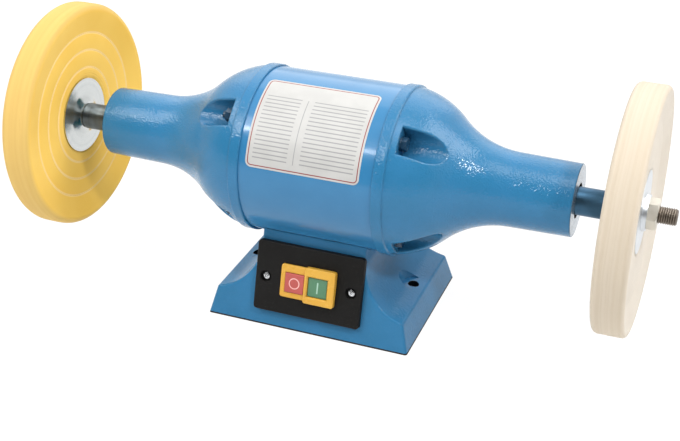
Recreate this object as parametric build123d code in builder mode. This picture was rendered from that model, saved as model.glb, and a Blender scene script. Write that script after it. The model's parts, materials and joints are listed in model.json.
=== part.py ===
from build123d import *
import os
from math import cos, radians, sin, sqrt, tan

os.makedirs("parts", exist_ok=True)

# A double-ended bench polisher. X runs along the spindle, -Y is the switch side, +Z is up, and the
# origin is the middle of the foot's underside. Lengths are in millimetres, angles in degrees.

# Fits and clearances
fit_gap = 0.05
race_gap = 0.08
slide_gap = 0.3
bolt_gap = 0.3
face_gap = 0.3

# Foot casting
axis_h = 135.0
base_half_x = 90.8
base_half_y = 67.7
base_wall = 6.0
end_set_in = 6.3
front_lean = 15.0
neck_half = 46.5
scoop_r = 46.0
scoop_floor_z = 24.3
pad_z = 27.5
base_edge_r = 2.2
foot_lip_r = 3.0
foot_hole_inset = 17.1
foot_hole_r = 4.5
pad_r = 10.5
pad_draft = 15.0
pad_wall = 4.5
lead_hole_r = 8.0

# Cover under the foot
cover_recess = 2.5
cover_t = 1.5
cover_edge_gap = 0.5
cover_screw_inset = 28.8
cover_lug_inset = 5.6
cover_screw_r = 2.0
cover_screw_len = 10.0
cover_head_r = 3.8
cover_head_t = 1.8
cover_lug_r = 7.0
cover_lug_h = 14.0

# Barrel and its saddle studs
barrel_r = 70.0
barrel_wall = 3.0
barrel_half = 63.0
saddle_stud_inset = 17.0
saddle_stud_r = 4.0
saddle_stud_end = 3.0
saddle_nut_af = 13.0
saddle_nut_t = 6.5
saddle_washer_r = 8.0
saddle_washer_t = 1.6
saddle_pad_r = 9.5
saddle_pad_t = 3.0

# End bells
rim_overlap = 6.0
rim_rise = 1.7
rim_band = 9.4
rim_corner_r = 1.4
rim_lip_r = 0.8
dome_step = 1.66
dome_slope_start = 9.27
dome_slope_mid = 43.1
nose_slope = 0.9
hollow_ratio = 1.038
bell_wall = 5.0
nose_wall = 6.2
nose_draft = 0.8
nose_len = 51.0
nose_end_wall = 5.4
nose_edge_r = 0.8
nose_gap = 2.1

# Tie bolts and their pockets
tie_count = 4
tie_angle = 43.0
tie_inset = 7.0
tie_r = 3.0
tie_head_af = 10.0
tie_head_t = 4.0
tie_washer_r = 6.0
tie_washer_t = 1.6
tie_nut_t = 5.0
tie_end = 3.0
pocket_seat = 14.6
pocket_r = 11.4
pocket_wall = 4.5
pocket_lip_r = 1.5

# Stator and rotor
core_half = 32.0
core_back = 17.0
stator_slots = 24
slot_w = 5.0
slot_depth = 12.5
slot_mouth_w = 2.4
slot_liner = 0.25
tooth_tip = 1.5
coil_in_step = 1.0
coil_out_step = 2.5
coil_end_gap = 8.0
coil_corner_r = 5.0
coil_stand = 1.0
tie_notch_w = 9.0
air_gap = 0.5
rotor_bars = 28
bar_w = 3.2
bar_depth = 8.0
bar_cover = 1.5
end_ring_step = 3.0
end_ring_t = 6.0
blade_count = 8
blade_h = 8.0
blade_w = 2.4

# Spindle
journal_r = 11.5
bearing_step = 1.0
body_step = 2.5
rotor_step = 1.0
arbor_r = 7.0
shaft_show = 31.8
thread_show = 14.5
tip_chamfer = 1.5
shoulder_chamfer = 1.5

# Ball bearings, 25 by 47 by 12
bearing_w = 12.0
bearing_section = 11.0
ball_r = 3.375
ball_count = 10
inner_ring_t = 3.4
outer_ring_t = 3.2
ring_corner_r = 0.6
cage_half_t = 1.1
cage_half_w = 4.2
pocket_play = 0.1
shield_t = 0.5
shield_inset = 0.6
shield_lap = 0.7
preload_t = 1.5

# Wheels, flanges and nuts
wheel_r = 100.0
wheel_bore_gap = 0.1
hub_grip = 13.3
wheel_rim_t = 26.0
flange_r = 33.4
flange_t = 5.0
flange_hub_r = 14.4
flange_hub_draft = 0.8
flange_hub_h = 3.0
flange_dish = 0.4
flange_edge_gap = 0.8
face_t = 15.6
face_run = 2.4
stitch_in = 9.1
stitch_pitch = 15.5
stitch_count = 3
stitch_bulge = 0.7
cotton_edge_r = 6.0
layer_edge_r = 4.0
layer_count = 8
layer_notch_w = 0.9
layer_notch_d = 0.8
nut_af = 22.0
nut_t = 7.8
nut_chamfer = 30.0

# Switch
plate_drop = 8.75
plate_w = 95.9
plate_h = 61.5
plate_t = 5.0
plate_corner_r = 3.0
plate_edge_r = 1.2
switch_up = -1.0
plate_screw_inset = 9.45
plate_screw_up = -0.5
plate_screw_r = 1.75
plate_screw_len = 9.0
plate_screw_head_r = 2.8
plate_screw_head_t = 2.0
plate_screw_edge_r = 0.6
screw_cup_r = 5.0
screw_cup_d = 3.2
button_w = 17.2
button_h = 16.8
button_corner_r = 0.8
button_edge_r = 0.7
bezel_web = 3.0
bezel_left = 4.2
bezel_right = 5.3
bezel_top = 6.6
bezel_bottom = 4.9
bezel_t = 2.4
guard_t = 5.0
guard_lap = 1.2
bezel_corner_r = 2.0
bezel_edge_r = 0.9
guard_bevel = 1.0
stop_proud = 3.6
start_proud = 3.2
button_root = 5.0
well_depth = 13.0
switch_body_wall = 3.2
switch_body_rim = 3.8
switch_body_d = 38.0
switch_window_gap = 1.0
spring_r = 4.0
spring_wire_r = 0.45
spring_turns = 4
spring_end_gap = 0.1

# Run capacitor, terminal block and cable gland
capacitor_r = 17.5
capacitor_len = 66.0
capacitor_x = 12.0
capacitor_y = 24.0
capacitor_edge_r = 2.0
strap_w = 14.0
strap_t = 1.2
strap_foot = 11.0
strap_screw_r = 1.75
strap_screw_head_r = 3.3
strap_screw_head_t = 2.0
strap_screw_end = 0.5
terminal_x = -40.0
terminal_y = 6.0
terminal_len = 34.0
terminal_w = 16.0
terminal_h = 13.0
terminal_ways = 4
terminal_hole_r = 2.2
gland_x = -38.0
gland_z = 24.0
gland_thread_r = 8.0
gland_thread_end = 5.0
gland_bore_r = 4.0
gland_hex_af = 22.0
gland_hex_t = 6.0
gland_dome_r = 9.5
gland_dome_t = 12.0
gland_dome_taper = 12.0
gland_nut_t = 5.0

# Spindle radii, from the journal in
bearing_seat_r = journal_r + bearing_step
body_r = bearing_seat_r + body_step
rotor_seat_r = body_r + rotor_step
bearing_or = bearing_seat_r + bearing_section
ball_pitch_r = (bearing_seat_r + bearing_or) / 2
inner_land_r = bearing_seat_r + inner_ring_t
outer_land_r = bearing_or - outer_ring_t
nose_bore_r = journal_r + nose_gap

# Motor radii, from the barrel in
rim_r = barrel_r + rim_rise
barrel_in_r = barrel_r - barrel_wall
tie_circle_r = barrel_in_r - tie_inset
slot_out_r = barrel_in_r - core_back
slot_in_r = slot_out_r - slot_depth
slot_mid_r = (slot_in_r + slot_out_r) / 2
stator_bore_r = slot_in_r - tooth_tip
coil_in_r = slot_in_r + coil_in_step
coil_out_r = slot_out_r + coil_out_step
rotor_r = stator_bore_r - air_gap
bar_out_r = rotor_r - bar_cover
bar_in_r = bar_out_r - bar_depth
bar_mid_r = (bar_in_r + bar_out_r) / 2
end_ring_in_r = bar_in_r - end_ring_step

# End bell's ogee: two tangent arcs that fall from the dome's start to the neck
nose_r = bearing_or + nose_wall
neck_r = nose_r + nose_draft
dome_r = rim_r - dome_step
slope_in = radians(dome_slope_start)
slope_mid = radians(dome_slope_mid)
slope_out = radians(nose_slope)
crown_fall = cos(slope_in) - cos(slope_mid)
hollow_fall = hollow_ratio * (cos(slope_out) - cos(slope_mid))
crown_run = sin(slope_mid) - sin(slope_in)
hollow_run = hollow_ratio * (sin(slope_mid) - sin(slope_out))
ogee_r = (dome_r - neck_r) / (crown_fall + hollow_fall)

# Places along the spindle, from the middle out
rim_in_x = barrel_half - rim_overlap
rim_out_x = rim_in_x + rim_band
seat_x = rim_in_x + pocket_seat
neck_x = rim_out_x + ogee_r * (crown_run + hollow_run)
nose_x = neck_x + nose_len
wall_x = nose_x - nose_end_wall
bearing_out_x = wall_x - preload_t
bearing_in_x = bearing_out_x - bearing_w
bearing_x = (bearing_in_x + bearing_out_x) / 2
coil_end_x = barrel_half - coil_end_gap
shoulder_x = nose_x + shaft_show
wheel_x = shoulder_x + flange_t + hub_grip / 2
nut_x = shoulder_x + 2 * flange_t + hub_grip
tip_x = nut_x + nut_t + thread_show

# Foot, cover and saddle
foot_hole_x = base_half_x - foot_hole_inset
cover_top = cover_recess + cover_t
cover_screw_x = base_half_x - cover_screw_inset
cover_screw_y = base_half_y - base_wall - cover_lug_inset
saddle_r = barrel_r + fit_gap
saddle_under_r = saddle_r + base_wall
saddle_seat_z = axis_h - saddle_under_r - saddle_pad_t
saddle_nut_z = saddle_seat_z - saddle_washer_t
saddle_stud_x = neck_half - saddle_stud_inset
foot_hole_places = ((-foot_hole_x, 0), (foot_hole_x, 0))
stud_places = ((-saddle_stud_x, 0), (saddle_stud_x, 0))
strap_in_r = capacitor_r + fit_gap
strap_out_r = strap_in_r + strap_t
strap_screw_y = strap_out_r + strap_foot / 2

# Switch: wells, bezel and places on the plate
well_w = button_w + 2 * slide_gap
well_h = button_h + 2 * slide_gap
bezel_w = bezel_left + 2 * well_w + bezel_web + bezel_right
bezel_h = bezel_bottom + well_h + bezel_top
bezel_up = switch_up + (bezel_top - bezel_bottom) / 2
stop_x = (well_w - bezel_w) / 2 + bezel_left
start_x = stop_x + well_w + bezel_web
stop_place = (stop_x, switch_up)
start_place = (start_x, switch_up)
switch_body_w = 2 * well_w + bezel_web + 2 * switch_body_wall
switch_body_h = well_h + 2 * switch_body_rim
switch_body_place = ((stop_x + start_x) / 2, switch_up)
plate_screw_x = plate_w / 2 - plate_screw_inset
plate_screw_places = ((-plate_screw_x, plate_screw_up), (plate_screw_x, plate_screw_up))

# Axes and planes
spindle_axis = Axis((0, 0, axis_h), (1, 0, 0))
meridian = Plane(origin=(0, 0, axis_h), x_dir=(1, 0, 0), z_dir=(0, -1, 0))
lean_cos = cos(radians(front_lean))
lean_sin = sin(radians(front_lean))
face_axis_up = base_half_y * lean_sin + axis_h * lean_cos
face_axis_in = base_half_y * lean_cos - axis_h * lean_sin
saddle_edge_up = face_axis_up - sqrt(saddle_r**2 - face_axis_in**2)
plate_up = saddle_edge_up - plate_drop - plate_h / 2
front_face = Plane(origin=(0, -base_half_y, 0), x_dir=(1, 0, 0), z_dir=(0, -lean_cos, lean_sin))
rear_face = Plane(origin=(0, base_half_y, 0), x_dir=(-1, 0, 0), z_dir=(0, lean_cos, lean_sin))
panel = Plane(
    origin=front_face.from_local_coords((0, plate_up, 0)),
    x_dir=(1, 0, 0),
    z_dir=front_face.z_dir,
)
panel_axis = Axis(panel.origin, panel.z_dir)
plate_front = panel.offset(plate_t)
screw_seat = plate_front.offset(-screw_cup_d)
gland_place = Plane(
    origin=rear_face.from_local_coords((-gland_x, gland_z / lean_cos, 0)),
    x_dir=(-1, 0, 0),
    z_dir=rear_face.z_dir,
)


def station(x):
    """The plane square to the spindle at x, with its local X along the frame's Y."""
    return Plane(origin=(x, 0, axis_h), x_dir=(0, 1, 0), z_dir=(1, 0, 0))


def finish(piece, name):
    """Label a finished piece and write it to its own file."""
    piece.part.label = name
    export_step(piece.part, f"parts/{name}.step")


def finish_pair(right_piece, name):
    """Write a right-hand piece and its mirror image as two pieces."""
    with BuildPart() as left_piece:
        mirror(right_piece.part, about=Plane.YZ)
    finish(left_piece, f"left_{name}")
    finish(right_piece, f"right_{name}")


def turned(points):
    """A solid of revolution about the spindle from its closed half outline."""
    with BuildPart() as piece:
        with BuildSketch(meridian):
            with BuildLine():
                Polyline(*points, close=True)
            make_face()
        revolve(axis=spindle_axis)
    return piece


def foot_block(inset):
    """The foot's scooped front outline carried between its two leaning faces, drawn in by inset."""
    scoop_x = neck_half + scoop_r
    scoop_z = scoop_floor_z + scoop_r
    arc_r = scoop_r + inset
    side_x = scoop_x - arc_r
    foot_x = base_half_x - inset
    skirt_x = foot_x - end_set_in
    skirt_z = scoop_z - sqrt(arc_r**2 - (scoop_x - skirt_x) ** 2)
    bend = radians(45)
    with BuildPart() as block:
        with BuildSketch(Plane.XZ.offset(-base_half_y)):
            with BuildLine():
                for side in (-1, 1):
                    Line((side * foot_x, 0), (side * skirt_x, skirt_z))
                    ThreePointArc(
                        (side * skirt_x, skirt_z),
                        (side * (scoop_x - arc_r * cos(bend)), scoop_z - arc_r * sin(bend)),
                        (side * side_x, scoop_z),
                    )
                    Line((side * side_x, scoop_z), (side * side_x, axis_h))
                Line((-foot_x, 0), (foot_x, 0))
                Line((-side_x, axis_h), (side_x, axis_h))
            make_face()
        extrude(amount=2 * base_half_y)
        split(bisect_by=front_face.offset(-inset), keep=Keep.BOTTOM)
        split(bisect_by=rear_face.offset(-inset), keep=Keep.BOTTOM)
    return block.part


# Foot: scooped casting, hollow from below, saddled to the barrel
pad_reach = neck_half + scoop_r - foot_hole_x + pad_r
pad_rise = scoop_floor_z + scoop_r - sqrt(scoop_r**2 - pad_reach**2) - pad_z
pad_slope = tan(radians(pad_draft))
pad_top_r = pad_r + scoop_r * pad_slope
pad_boss_r = pad_r + pad_rise * pad_slope + pad_wall

with BuildPart() as foot_core:
    add(foot_block(base_wall))
    with Locations((0, 0, axis_h)):
        Cylinder(saddle_under_r, 4 * base_half_x, rotation=(0, 90, 0), mode=Mode.SUBTRACT)
    with Locations(*foot_hole_places):
        Cylinder(pad_boss_r, 2 * axis_h, mode=Mode.SUBTRACT)
    with GridLocations(2 * cover_screw_x, 2 * cover_screw_y, 2, 2):
        Cylinder(
            cover_lug_r,
            cover_lug_h,
            align=(Align.CENTER, Align.CENTER, Align.MIN),
            mode=Mode.SUBTRACT,
        )
    with BuildSketch(Plane.XY.offset(saddle_seat_z)):
        with Locations(*stud_places):
            Circle(saddle_pad_r)
    extrude(amount=axis_h, mode=Mode.SUBTRACT)

with BuildPart() as base:
    add(foot_block(0))
    sharp = base.edges().filter_by_position(Axis.Z, 1, axis_h - 1, inclusive=(False, False))
    leaning = sharp.filter_by(lambda edge: abs(edge.center().Y) > base_half_y / 2)
    lips = sharp.filter_by(Axis.Y).filter_by(lambda edge: edge.center().Z < scoop_floor_z + scoop_r / 2)
    fillet(lips, foot_lip_r)
    fillet(leaning, base_edge_r)
    add(foot_core.part, mode=Mode.SUBTRACT)
    with BuildSketch():
        Rectangle(2 * (base_half_x - base_wall), 2 * (base_half_y - base_wall))
        with Locations(*foot_hole_places):
            Circle(pad_boss_r, mode=Mode.SUBTRACT)
    extrude(amount=cover_top, mode=Mode.SUBTRACT)
    with Locations((0, 0, axis_h)):
        Cylinder(saddle_r, 4 * base_half_x, rotation=(0, 90, 0), mode=Mode.SUBTRACT)
    with Locations(Plane.XY.offset(pad_z)):
        with Locations(*foot_hole_places):
            Cone(
                pad_r,
                pad_top_r,
                scoop_r,
                align=(Align.CENTER, Align.CENTER, Align.MIN),
                mode=Mode.SUBTRACT,
            )
            Cylinder(foot_hole_r, 3 * pad_z, mode=Mode.SUBTRACT)
    with GridLocations(2 * cover_screw_x, 2 * cover_screw_y, 2, 2):
        Cylinder(cover_screw_r + bolt_gap, 2 * (cover_top + cover_screw_len), mode=Mode.SUBTRACT)
    with Locations(Plane.XY.offset(axis_h - barrel_r)):
        with Locations(*stud_places):
            Cylinder(saddle_stud_r + bolt_gap, 4 * base_wall, mode=Mode.SUBTRACT)
        Cylinder(lead_hole_r, 4 * base_wall, mode=Mode.SUBTRACT)
    with BuildSketch(panel):
        with Locations(switch_body_place):
            Rectangle(switch_body_w + 2 * switch_window_gap, switch_body_h + 2 * switch_window_gap)
    extrude(amount=-3 * base_wall, mode=Mode.SUBTRACT)
    with Locations(panel):
        with Locations(*plate_screw_places):
            Cylinder(plate_screw_r + bolt_gap, 4 * base_wall, mode=Mode.SUBTRACT)
    with Locations(gland_place):
        Cylinder(gland_thread_r + bolt_gap, 4 * base_wall, mode=Mode.SUBTRACT)
finish(base, "base")

# Cover plate under the foot and its screws
cover_half_x = base_half_x - base_wall - cover_edge_gap
cover_half_y = base_half_y - base_wall - cover_edge_gap
with BuildPart() as base_cover_plate:
    with BuildSketch(Plane.XY.offset(cover_recess)):
        RectangleRounded(2 * cover_half_x, 2 * cover_half_y, base_edge_r)
        with Locations(*foot_hole_places):
            Circle(pad_boss_r + cover_edge_gap, mode=Mode.SUBTRACT)
        with GridLocations(2 * cover_screw_x, 2 * cover_screw_y, 2, 2):
            Circle(cover_screw_r + bolt_gap, mode=Mode.SUBTRACT)
        with Locations((capacitor_x, capacitor_y)):
            with GridLocations(0, 2 * strap_screw_y, 1, 2):
                Circle(strap_screw_r + bolt_gap, mode=Mode.SUBTRACT)
    extrude(amount=cover_t)
finish(base_cover_plate, "base_cover_plate")

with BuildPart() as base_cover_screws:
    with BuildSketch(Plane.XY.offset(cover_recess)):
        with GridLocations(2 * cover_screw_x, 2 * cover_screw_y, 2, 2):
            Circle(cover_head_r)
    extrude(amount=-cover_head_t)
    fillet(base_cover_screws.edges().group_by(Axis.Z)[0], cover_head_t / 2)
    with BuildSketch(Plane.XY.offset(cover_recess)):
        with GridLocations(2 * cover_screw_x, 2 * cover_screw_y, 2, 2):
            Circle(cover_screw_r)
    extrude(amount=cover_screw_len)
finish(base_cover_screws, "base_cover_screws")

# Motor barrel, with a hole for the leads
with BuildPart() as motor_barrel:
    with BuildSketch(station(-barrel_half)):
        Circle(barrel_r)
        Circle(barrel_in_r, mode=Mode.SUBTRACT)
    extrude(amount=2 * barrel_half)
    with Locations((0, 0, axis_h - barrel_r)):
        Cylinder(lead_hole_r, 4 * barrel_wall, mode=Mode.SUBTRACT)
finish(motor_barrel, "motor_barrel")

# Saddle studs, welded under the barrel, with washers and nuts inside the foot
with BuildPart() as saddle_studs:
    with BuildSketch(Plane.XY.offset(saddle_nut_z - saddle_nut_t - saddle_stud_end)):
        with Locations(*stud_places):
            Circle(saddle_stud_r)
    extrude(until=Until.NEXT, target=motor_barrel.part)
finish(saddle_studs, "saddle_studs")

with BuildPart() as saddle_washers:
    with BuildSketch(Plane.XY.offset(saddle_seat_z)):
        with Locations(*stud_places):
            Circle(saddle_washer_r)
            Circle(saddle_stud_r + bolt_gap, mode=Mode.SUBTRACT)
    extrude(amount=-saddle_washer_t)
finish(saddle_washers, "saddle_washers")

with BuildPart() as saddle_nuts:
    with BuildSketch(Plane.XY.offset(saddle_nut_z)):
        with Locations(*stud_places):
            RegularPolygon(saddle_nut_af / 2, 6, major_radius=False)
            Circle(saddle_stud_r + fit_gap, mode=Mode.SUBTRACT)
    extrude(amount=-saddle_nut_t)
finish(saddle_nuts, "saddle_nuts")


# End bells: the ogee from the rim band down to a long nose, at even wall
def ogee(depth):
    """The two arcs of the bell's outline at a depth under its outer skin. Gives back their two ends."""
    start = (rim_out_x - depth * sin(slope_in), dome_r - depth * cos(slope_in))
    crown = JernArc(start, (cos(slope_in), -sin(slope_in)), ogee_r - depth, dome_slope_start - dome_slope_mid)
    hollow = JernArc(crown @ 1, crown % 1, ogee_r * hollow_ratio + depth, dome_slope_mid - nose_slope)
    return crown @ 0, hollow @ 1


def channel(start_x, half_w):
    """Straight channels round the bell at the tie bolts, open outwards, with a half-round floor."""
    with BuildPart() as channels:
        with BuildSketch(station(start_x)):
            with PolarLocations(tie_circle_r, tie_count, tie_angle):
                Circle(half_w)
                Rectangle(2 * half_w, 2 * half_w, align=(Align.MIN, Align.CENTER))
        extrude(amount=neck_x - start_x)
    return channels.part


with BuildPart() as bell_skin:
    with BuildSketch(meridian):
        with BuildLine():
            dome_start, neck_end = ogee(0)
            Line(neck_end, (nose_x, nose_r))
            Line((nose_x, nose_r), (nose_x, 0))
            Line((nose_x, 0), (rim_in_x, 0))
            Line((rim_in_x, 0), (rim_in_x, rim_r - rim_lip_r))
            RadiusArc((rim_in_x, rim_r - rim_lip_r), (rim_in_x + rim_lip_r, rim_r), rim_lip_r)
            Line((rim_in_x + rim_lip_r, rim_r), (rim_out_x - rim_corner_r, rim_r))
            RadiusArc((rim_out_x - rim_corner_r, rim_r), (rim_out_x, rim_r - rim_corner_r), rim_corner_r)
            Line((rim_out_x, rim_r - rim_corner_r), dome_start)
        make_face()
    revolve(axis=spindle_axis)
    nose_end = bell_skin.faces().sort_by(Axis.X)[-1]
    fillet(nose_end.outer_wire().edges(), nose_edge_r)

bore_r = bearing_or + fit_gap
spigot_r = barrel_r + fit_gap
with BuildPart() as bell_core:
    with BuildSketch(meridian):
        with BuildLine():
            hollow_start, hollow_end = ogee(bell_wall)
            Line(hollow_end, (bearing_in_x - bearing_w, bore_r))
            Line((bearing_in_x - bearing_w, bore_r), (wall_x, bore_r))
            Line((wall_x, bore_r), (wall_x, nose_bore_r))
            Line((wall_x, nose_bore_r), (nose_x, nose_bore_r))
            Line((nose_x, nose_bore_r), (nose_x, 0))
            Line((nose_x, 0), (rim_in_x, 0))
            Line((rim_in_x, 0), (rim_in_x, spigot_r))
            Line((rim_in_x, spigot_r), (barrel_half, spigot_r))
            Line((barrel_half, spigot_r), (barrel_half, hollow_start.Y))
            Line((barrel_half, hollow_start.Y), hollow_start)
        make_face()
    revolve(axis=spindle_axis)

with BuildPart() as pocket_bosses:
    add(channel(barrel_half, pocket_r + pocket_wall))
    add(bell_skin.part, mode=Mode.INTERSECT)

with BuildPart() as end_bell:
    add(bell_skin.part)
    add(bell_core.part, mode=Mode.SUBTRACT)
    add(pocket_bosses.part)
    add(channel(seat_x, pocket_r), mode=Mode.SUBTRACT)
    rims = end_bell.edges(Select.LAST).filter_by(GeomType.LINE, reverse=True)
    fillet(rims.filter_by(lambda edge: edge.center().X > seat_x + pocket_lip_r), pocket_lip_r)
    with BuildSketch(station(barrel_half)):
        with PolarLocations(tie_circle_r, tie_count, tie_angle):
            Circle(tie_r + bolt_gap)
    extrude(amount=pocket_seat, mode=Mode.SUBTRACT)
finish_pair(end_bell, "end_bell")

# Tie bolts right through the motor, heads on the right and nuts on the left
with BuildPart() as tie_bolts:
    with BuildSketch(station(seat_x + tie_washer_t)):
        with PolarLocations(tie_circle_r, tie_count, tie_angle):
            RegularPolygon(tie_head_af / 2, 6, major_radius=False)
    extrude(amount=tie_head_t)
    with BuildSketch(station(seat_x + tie_washer_t)):
        with PolarLocations(tie_circle_r, tie_count, tie_angle):
            Circle(tie_r)
    extrude(amount=-(2 * seat_x + 2 * tie_washer_t + tie_nut_t + tie_end))
finish(tie_bolts, "tie_bolts")

with BuildPart() as tie_bolt_nuts:
    with BuildSketch(station(-seat_x - tie_washer_t)):
        with PolarLocations(tie_circle_r, tie_count, tie_angle):
            RegularPolygon(tie_head_af / 2, 6, major_radius=False)
            Circle(tie_r + fit_gap, mode=Mode.SUBTRACT)
    extrude(amount=-tie_nut_t)
finish(tie_bolt_nuts, "tie_bolt_nuts")

with BuildPart() as tie_bolt_washers:
    for side in (-1, 1):
        with BuildSketch(station(side * seat_x)):
            with PolarLocations(tie_circle_r, tie_count, tie_angle):
                Circle(tie_washer_r)
                Circle(tie_r + bolt_gap, mode=Mode.SUBTRACT)
        extrude(amount=side * tie_washer_t)
finish(tie_bolt_washers, "tie_bolt_washers")

# Stator: slotted core, notched for the tie bolts, and its windings
with BuildPart() as stator_core:
    with BuildSketch(station(-core_half)):
        Circle(barrel_in_r - fit_gap)
        Circle(stator_bore_r, mode=Mode.SUBTRACT)
        with PolarLocations(slot_mid_r, stator_slots):
            Rectangle(slot_depth, slot_w, mode=Mode.SUBTRACT)
        with PolarLocations(stator_bore_r, stator_slots):
            Rectangle(2 * tooth_tip, slot_mouth_w, mode=Mode.SUBTRACT)
        with PolarLocations(tie_circle_r, tie_count, tie_angle):
            Circle(tie_notch_w / 2, mode=Mode.SUBTRACT)
            Rectangle(barrel_in_r, tie_notch_w, align=(Align.MIN, Align.CENTER), mode=Mode.SUBTRACT)
    extrude(amount=2 * core_half)
finish(stator_core, "stator_core")

coil_in_x = core_half + coil_stand
with BuildPart() as stator_windings:
    with BuildSketch(station(-coil_in_x)):
        with PolarLocations(slot_mid_r, stator_slots):
            Rectangle(slot_depth - 2 * slot_liner, slot_w - 2 * slot_liner)
    extrude(amount=2 * coil_in_x)
    for side in (-1, 1):
        with BuildSketch(meridian):
            with Locations((side * (coil_in_x + coil_end_x) / 2, (coil_in_r + coil_out_r) / 2)):
                RectangleRounded(coil_end_x - coil_in_x, coil_out_r - coil_in_r, coil_corner_r)
        revolve(axis=spindle_axis)
finish(stator_windings, "stator_windings")

# Rotor: slotted core, and the cast cage of bars, end rings and fan blades
with BuildPart() as rotor_core:
    with BuildSketch(station(-core_half)):
        Circle(rotor_r)
        Circle(rotor_seat_r + fit_gap, mode=Mode.SUBTRACT)
        with PolarLocations(bar_mid_r, rotor_bars):
            Rectangle(bar_depth, bar_w, mode=Mode.SUBTRACT)
    extrude(amount=2 * core_half)
finish(rotor_core, "rotor_core")

with BuildPart() as rotor_cage:
    with BuildSketch(station(-core_half)):
        with PolarLocations(bar_mid_r, rotor_bars):
            Rectangle(bar_depth, bar_w)
    extrude(amount=2 * core_half)
    for side in (-1, 1):
        with BuildSketch(station(side * core_half)):
            Circle(bar_out_r)
            Circle(end_ring_in_r, mode=Mode.SUBTRACT)
        extrude(amount=side * end_ring_t)
        with BuildSketch(station(side * (core_half + end_ring_t))):
            with PolarLocations((end_ring_in_r + bar_out_r) / 2, blade_count):
                Rectangle(bar_out_r - end_ring_in_r - blade_w, blade_w)
        extrude(amount=side * blade_h)
finish(rotor_cage, "rotor_cage")

# Spindle: one shaft through both noses, stepped down to each arbor
with BuildPart() as spindle_shaft:
    with BuildSketch(meridian):
        with BuildLine():
            Polyline(
                (0, 0),
                (0, rotor_seat_r),
                (core_half, rotor_seat_r),
                (core_half, body_r),
                (bearing_in_x, body_r),
                (bearing_in_x, bearing_seat_r),
                (bearing_out_x, bearing_seat_r),
                (bearing_out_x, journal_r),
                (shoulder_x - shoulder_chamfer, journal_r),
                (shoulder_x, journal_r - shoulder_chamfer),
                (shoulder_x, arbor_r),
                (tip_x - tip_chamfer, arbor_r),
                (tip_x, arbor_r - tip_chamfer),
                (tip_x, 0),
                close=True,
            )
        make_face()
    revolve(axis=spindle_axis)
    mirror(about=Plane.YZ)
finish(spindle_shaft, "spindle_shaft")

# Ball bearings behind each nose's end wall
race_r = ball_r + race_gap
shield_x = bearing_w / 2 - shield_inset - shield_t / 2
with BuildPart() as bearing_outer_ring:
    with BuildSketch(meridian):
        with Locations((bearing_x, (bearing_or + outer_land_r) / 2)):
            Rectangle(bearing_w, outer_ring_t)
        with Locations((bearing_x, ball_pitch_r)):
            Circle(race_r, mode=Mode.SUBTRACT)
        for side in (-1, 1):
            with Locations((bearing_x + side * shield_x, outer_land_r)):
                Rectangle(shield_t + fit_gap, 2 * (shield_lap + fit_gap), mode=Mode.SUBTRACT)
    revolve(axis=spindle_axis)
    outer_corners = bearing_outer_ring.edges().filter_by(GeomType.CIRCLE)
    fillet(outer_corners.sort_by(lambda edge: edge.radius)[-2:], ring_corner_r)
finish_pair(bearing_outer_ring, "bearing_outer_ring")

with BuildPart() as bearing_inner_ring:
    with BuildSketch(meridian):
        with Locations((bearing_x, (bearing_seat_r + fit_gap + inner_land_r) / 2)):
            Rectangle(bearing_w, inner_ring_t - fit_gap)
        with Locations((bearing_x, ball_pitch_r)):
            Circle(race_r, mode=Mode.SUBTRACT)
    revolve(axis=spindle_axis)
finish_pair(bearing_inner_ring, "bearing_inner_ring")

with BuildPart() as bearing_shields:
    for side in (-1, 1):
        with BuildSketch(station(bearing_x + side * shield_x - shield_t / 2)):
            Circle(outer_land_r + shield_lap)
            Circle(inner_land_r + slide_gap, mode=Mode.SUBTRACT)
        extrude(amount=shield_t)
finish_pair(bearing_shields, "bearing_shields")

with BuildPart() as bearing_balls:
    with Locations(station(bearing_x)):
        with PolarLocations(ball_pitch_r, ball_count):
            Sphere(ball_r)
finish_pair(bearing_balls, "bearing_balls")

with BuildPart() as bearing_cage:
    with BuildSketch(station(bearing_x - cage_half_w)):
        Circle(ball_pitch_r + cage_half_t)
        Circle(ball_pitch_r - cage_half_t, mode=Mode.SUBTRACT)
    extrude(amount=2 * cage_half_w)
    with Locations(station(bearing_x)):
        with PolarLocations(ball_pitch_r, ball_count):
            Cylinder(ball_r + pocket_play, 4 * cage_half_t, rotation=(0, 90, 0), mode=Mode.SUBTRACT)
finish_pair(bearing_cage, "bearing_cage")

# Washers between each bearing and its end wall: sprung on the left, a shim on the right
washer_out_r = bearing_or - fit_gap
washer_in_r = outer_land_r + shield_lap
for name, side in (("wave_washer", -1), ("shim_washer", 1)):
    with BuildPart() as end_washer:
        with BuildSketch(station(side * bearing_out_x)):
            Circle(washer_out_r)
            Circle(washer_in_r, mode=Mode.SUBTRACT)
        extrude(amount=side * preload_t)
    finish(end_washer, name)

# Wheel flanges: shallow dished discs with a raised hub
hole_r = arbor_r + wheel_bore_gap
flange_half = (
    (0, hole_r),
    (0, flange_hub_r),
    (flange_hub_h, flange_hub_r + flange_hub_draft),
    (flange_hub_h + flange_dish, flange_r),
    (flange_t, flange_r),
    (flange_t, hole_r),
)
finish_pair(turned([(shoulder_x + x, r) for x, r in flange_half]), "inner_flange")
finish_pair(turned([(nut_x - x, r) for x, r in flange_half]), "outer_flange")

# Wheels: thick at the rim, drawn thin by the stitches and where the flanges grip them
grip_half = hub_grip / 2
face_half = face_t / 2
rim_half = wheel_rim_t / 2
face_start_r = flange_r + flange_edge_gap
stitch_rings = [face_start_r + stitch_in + ring * stitch_pitch for ring in range(stitch_count)]


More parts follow.
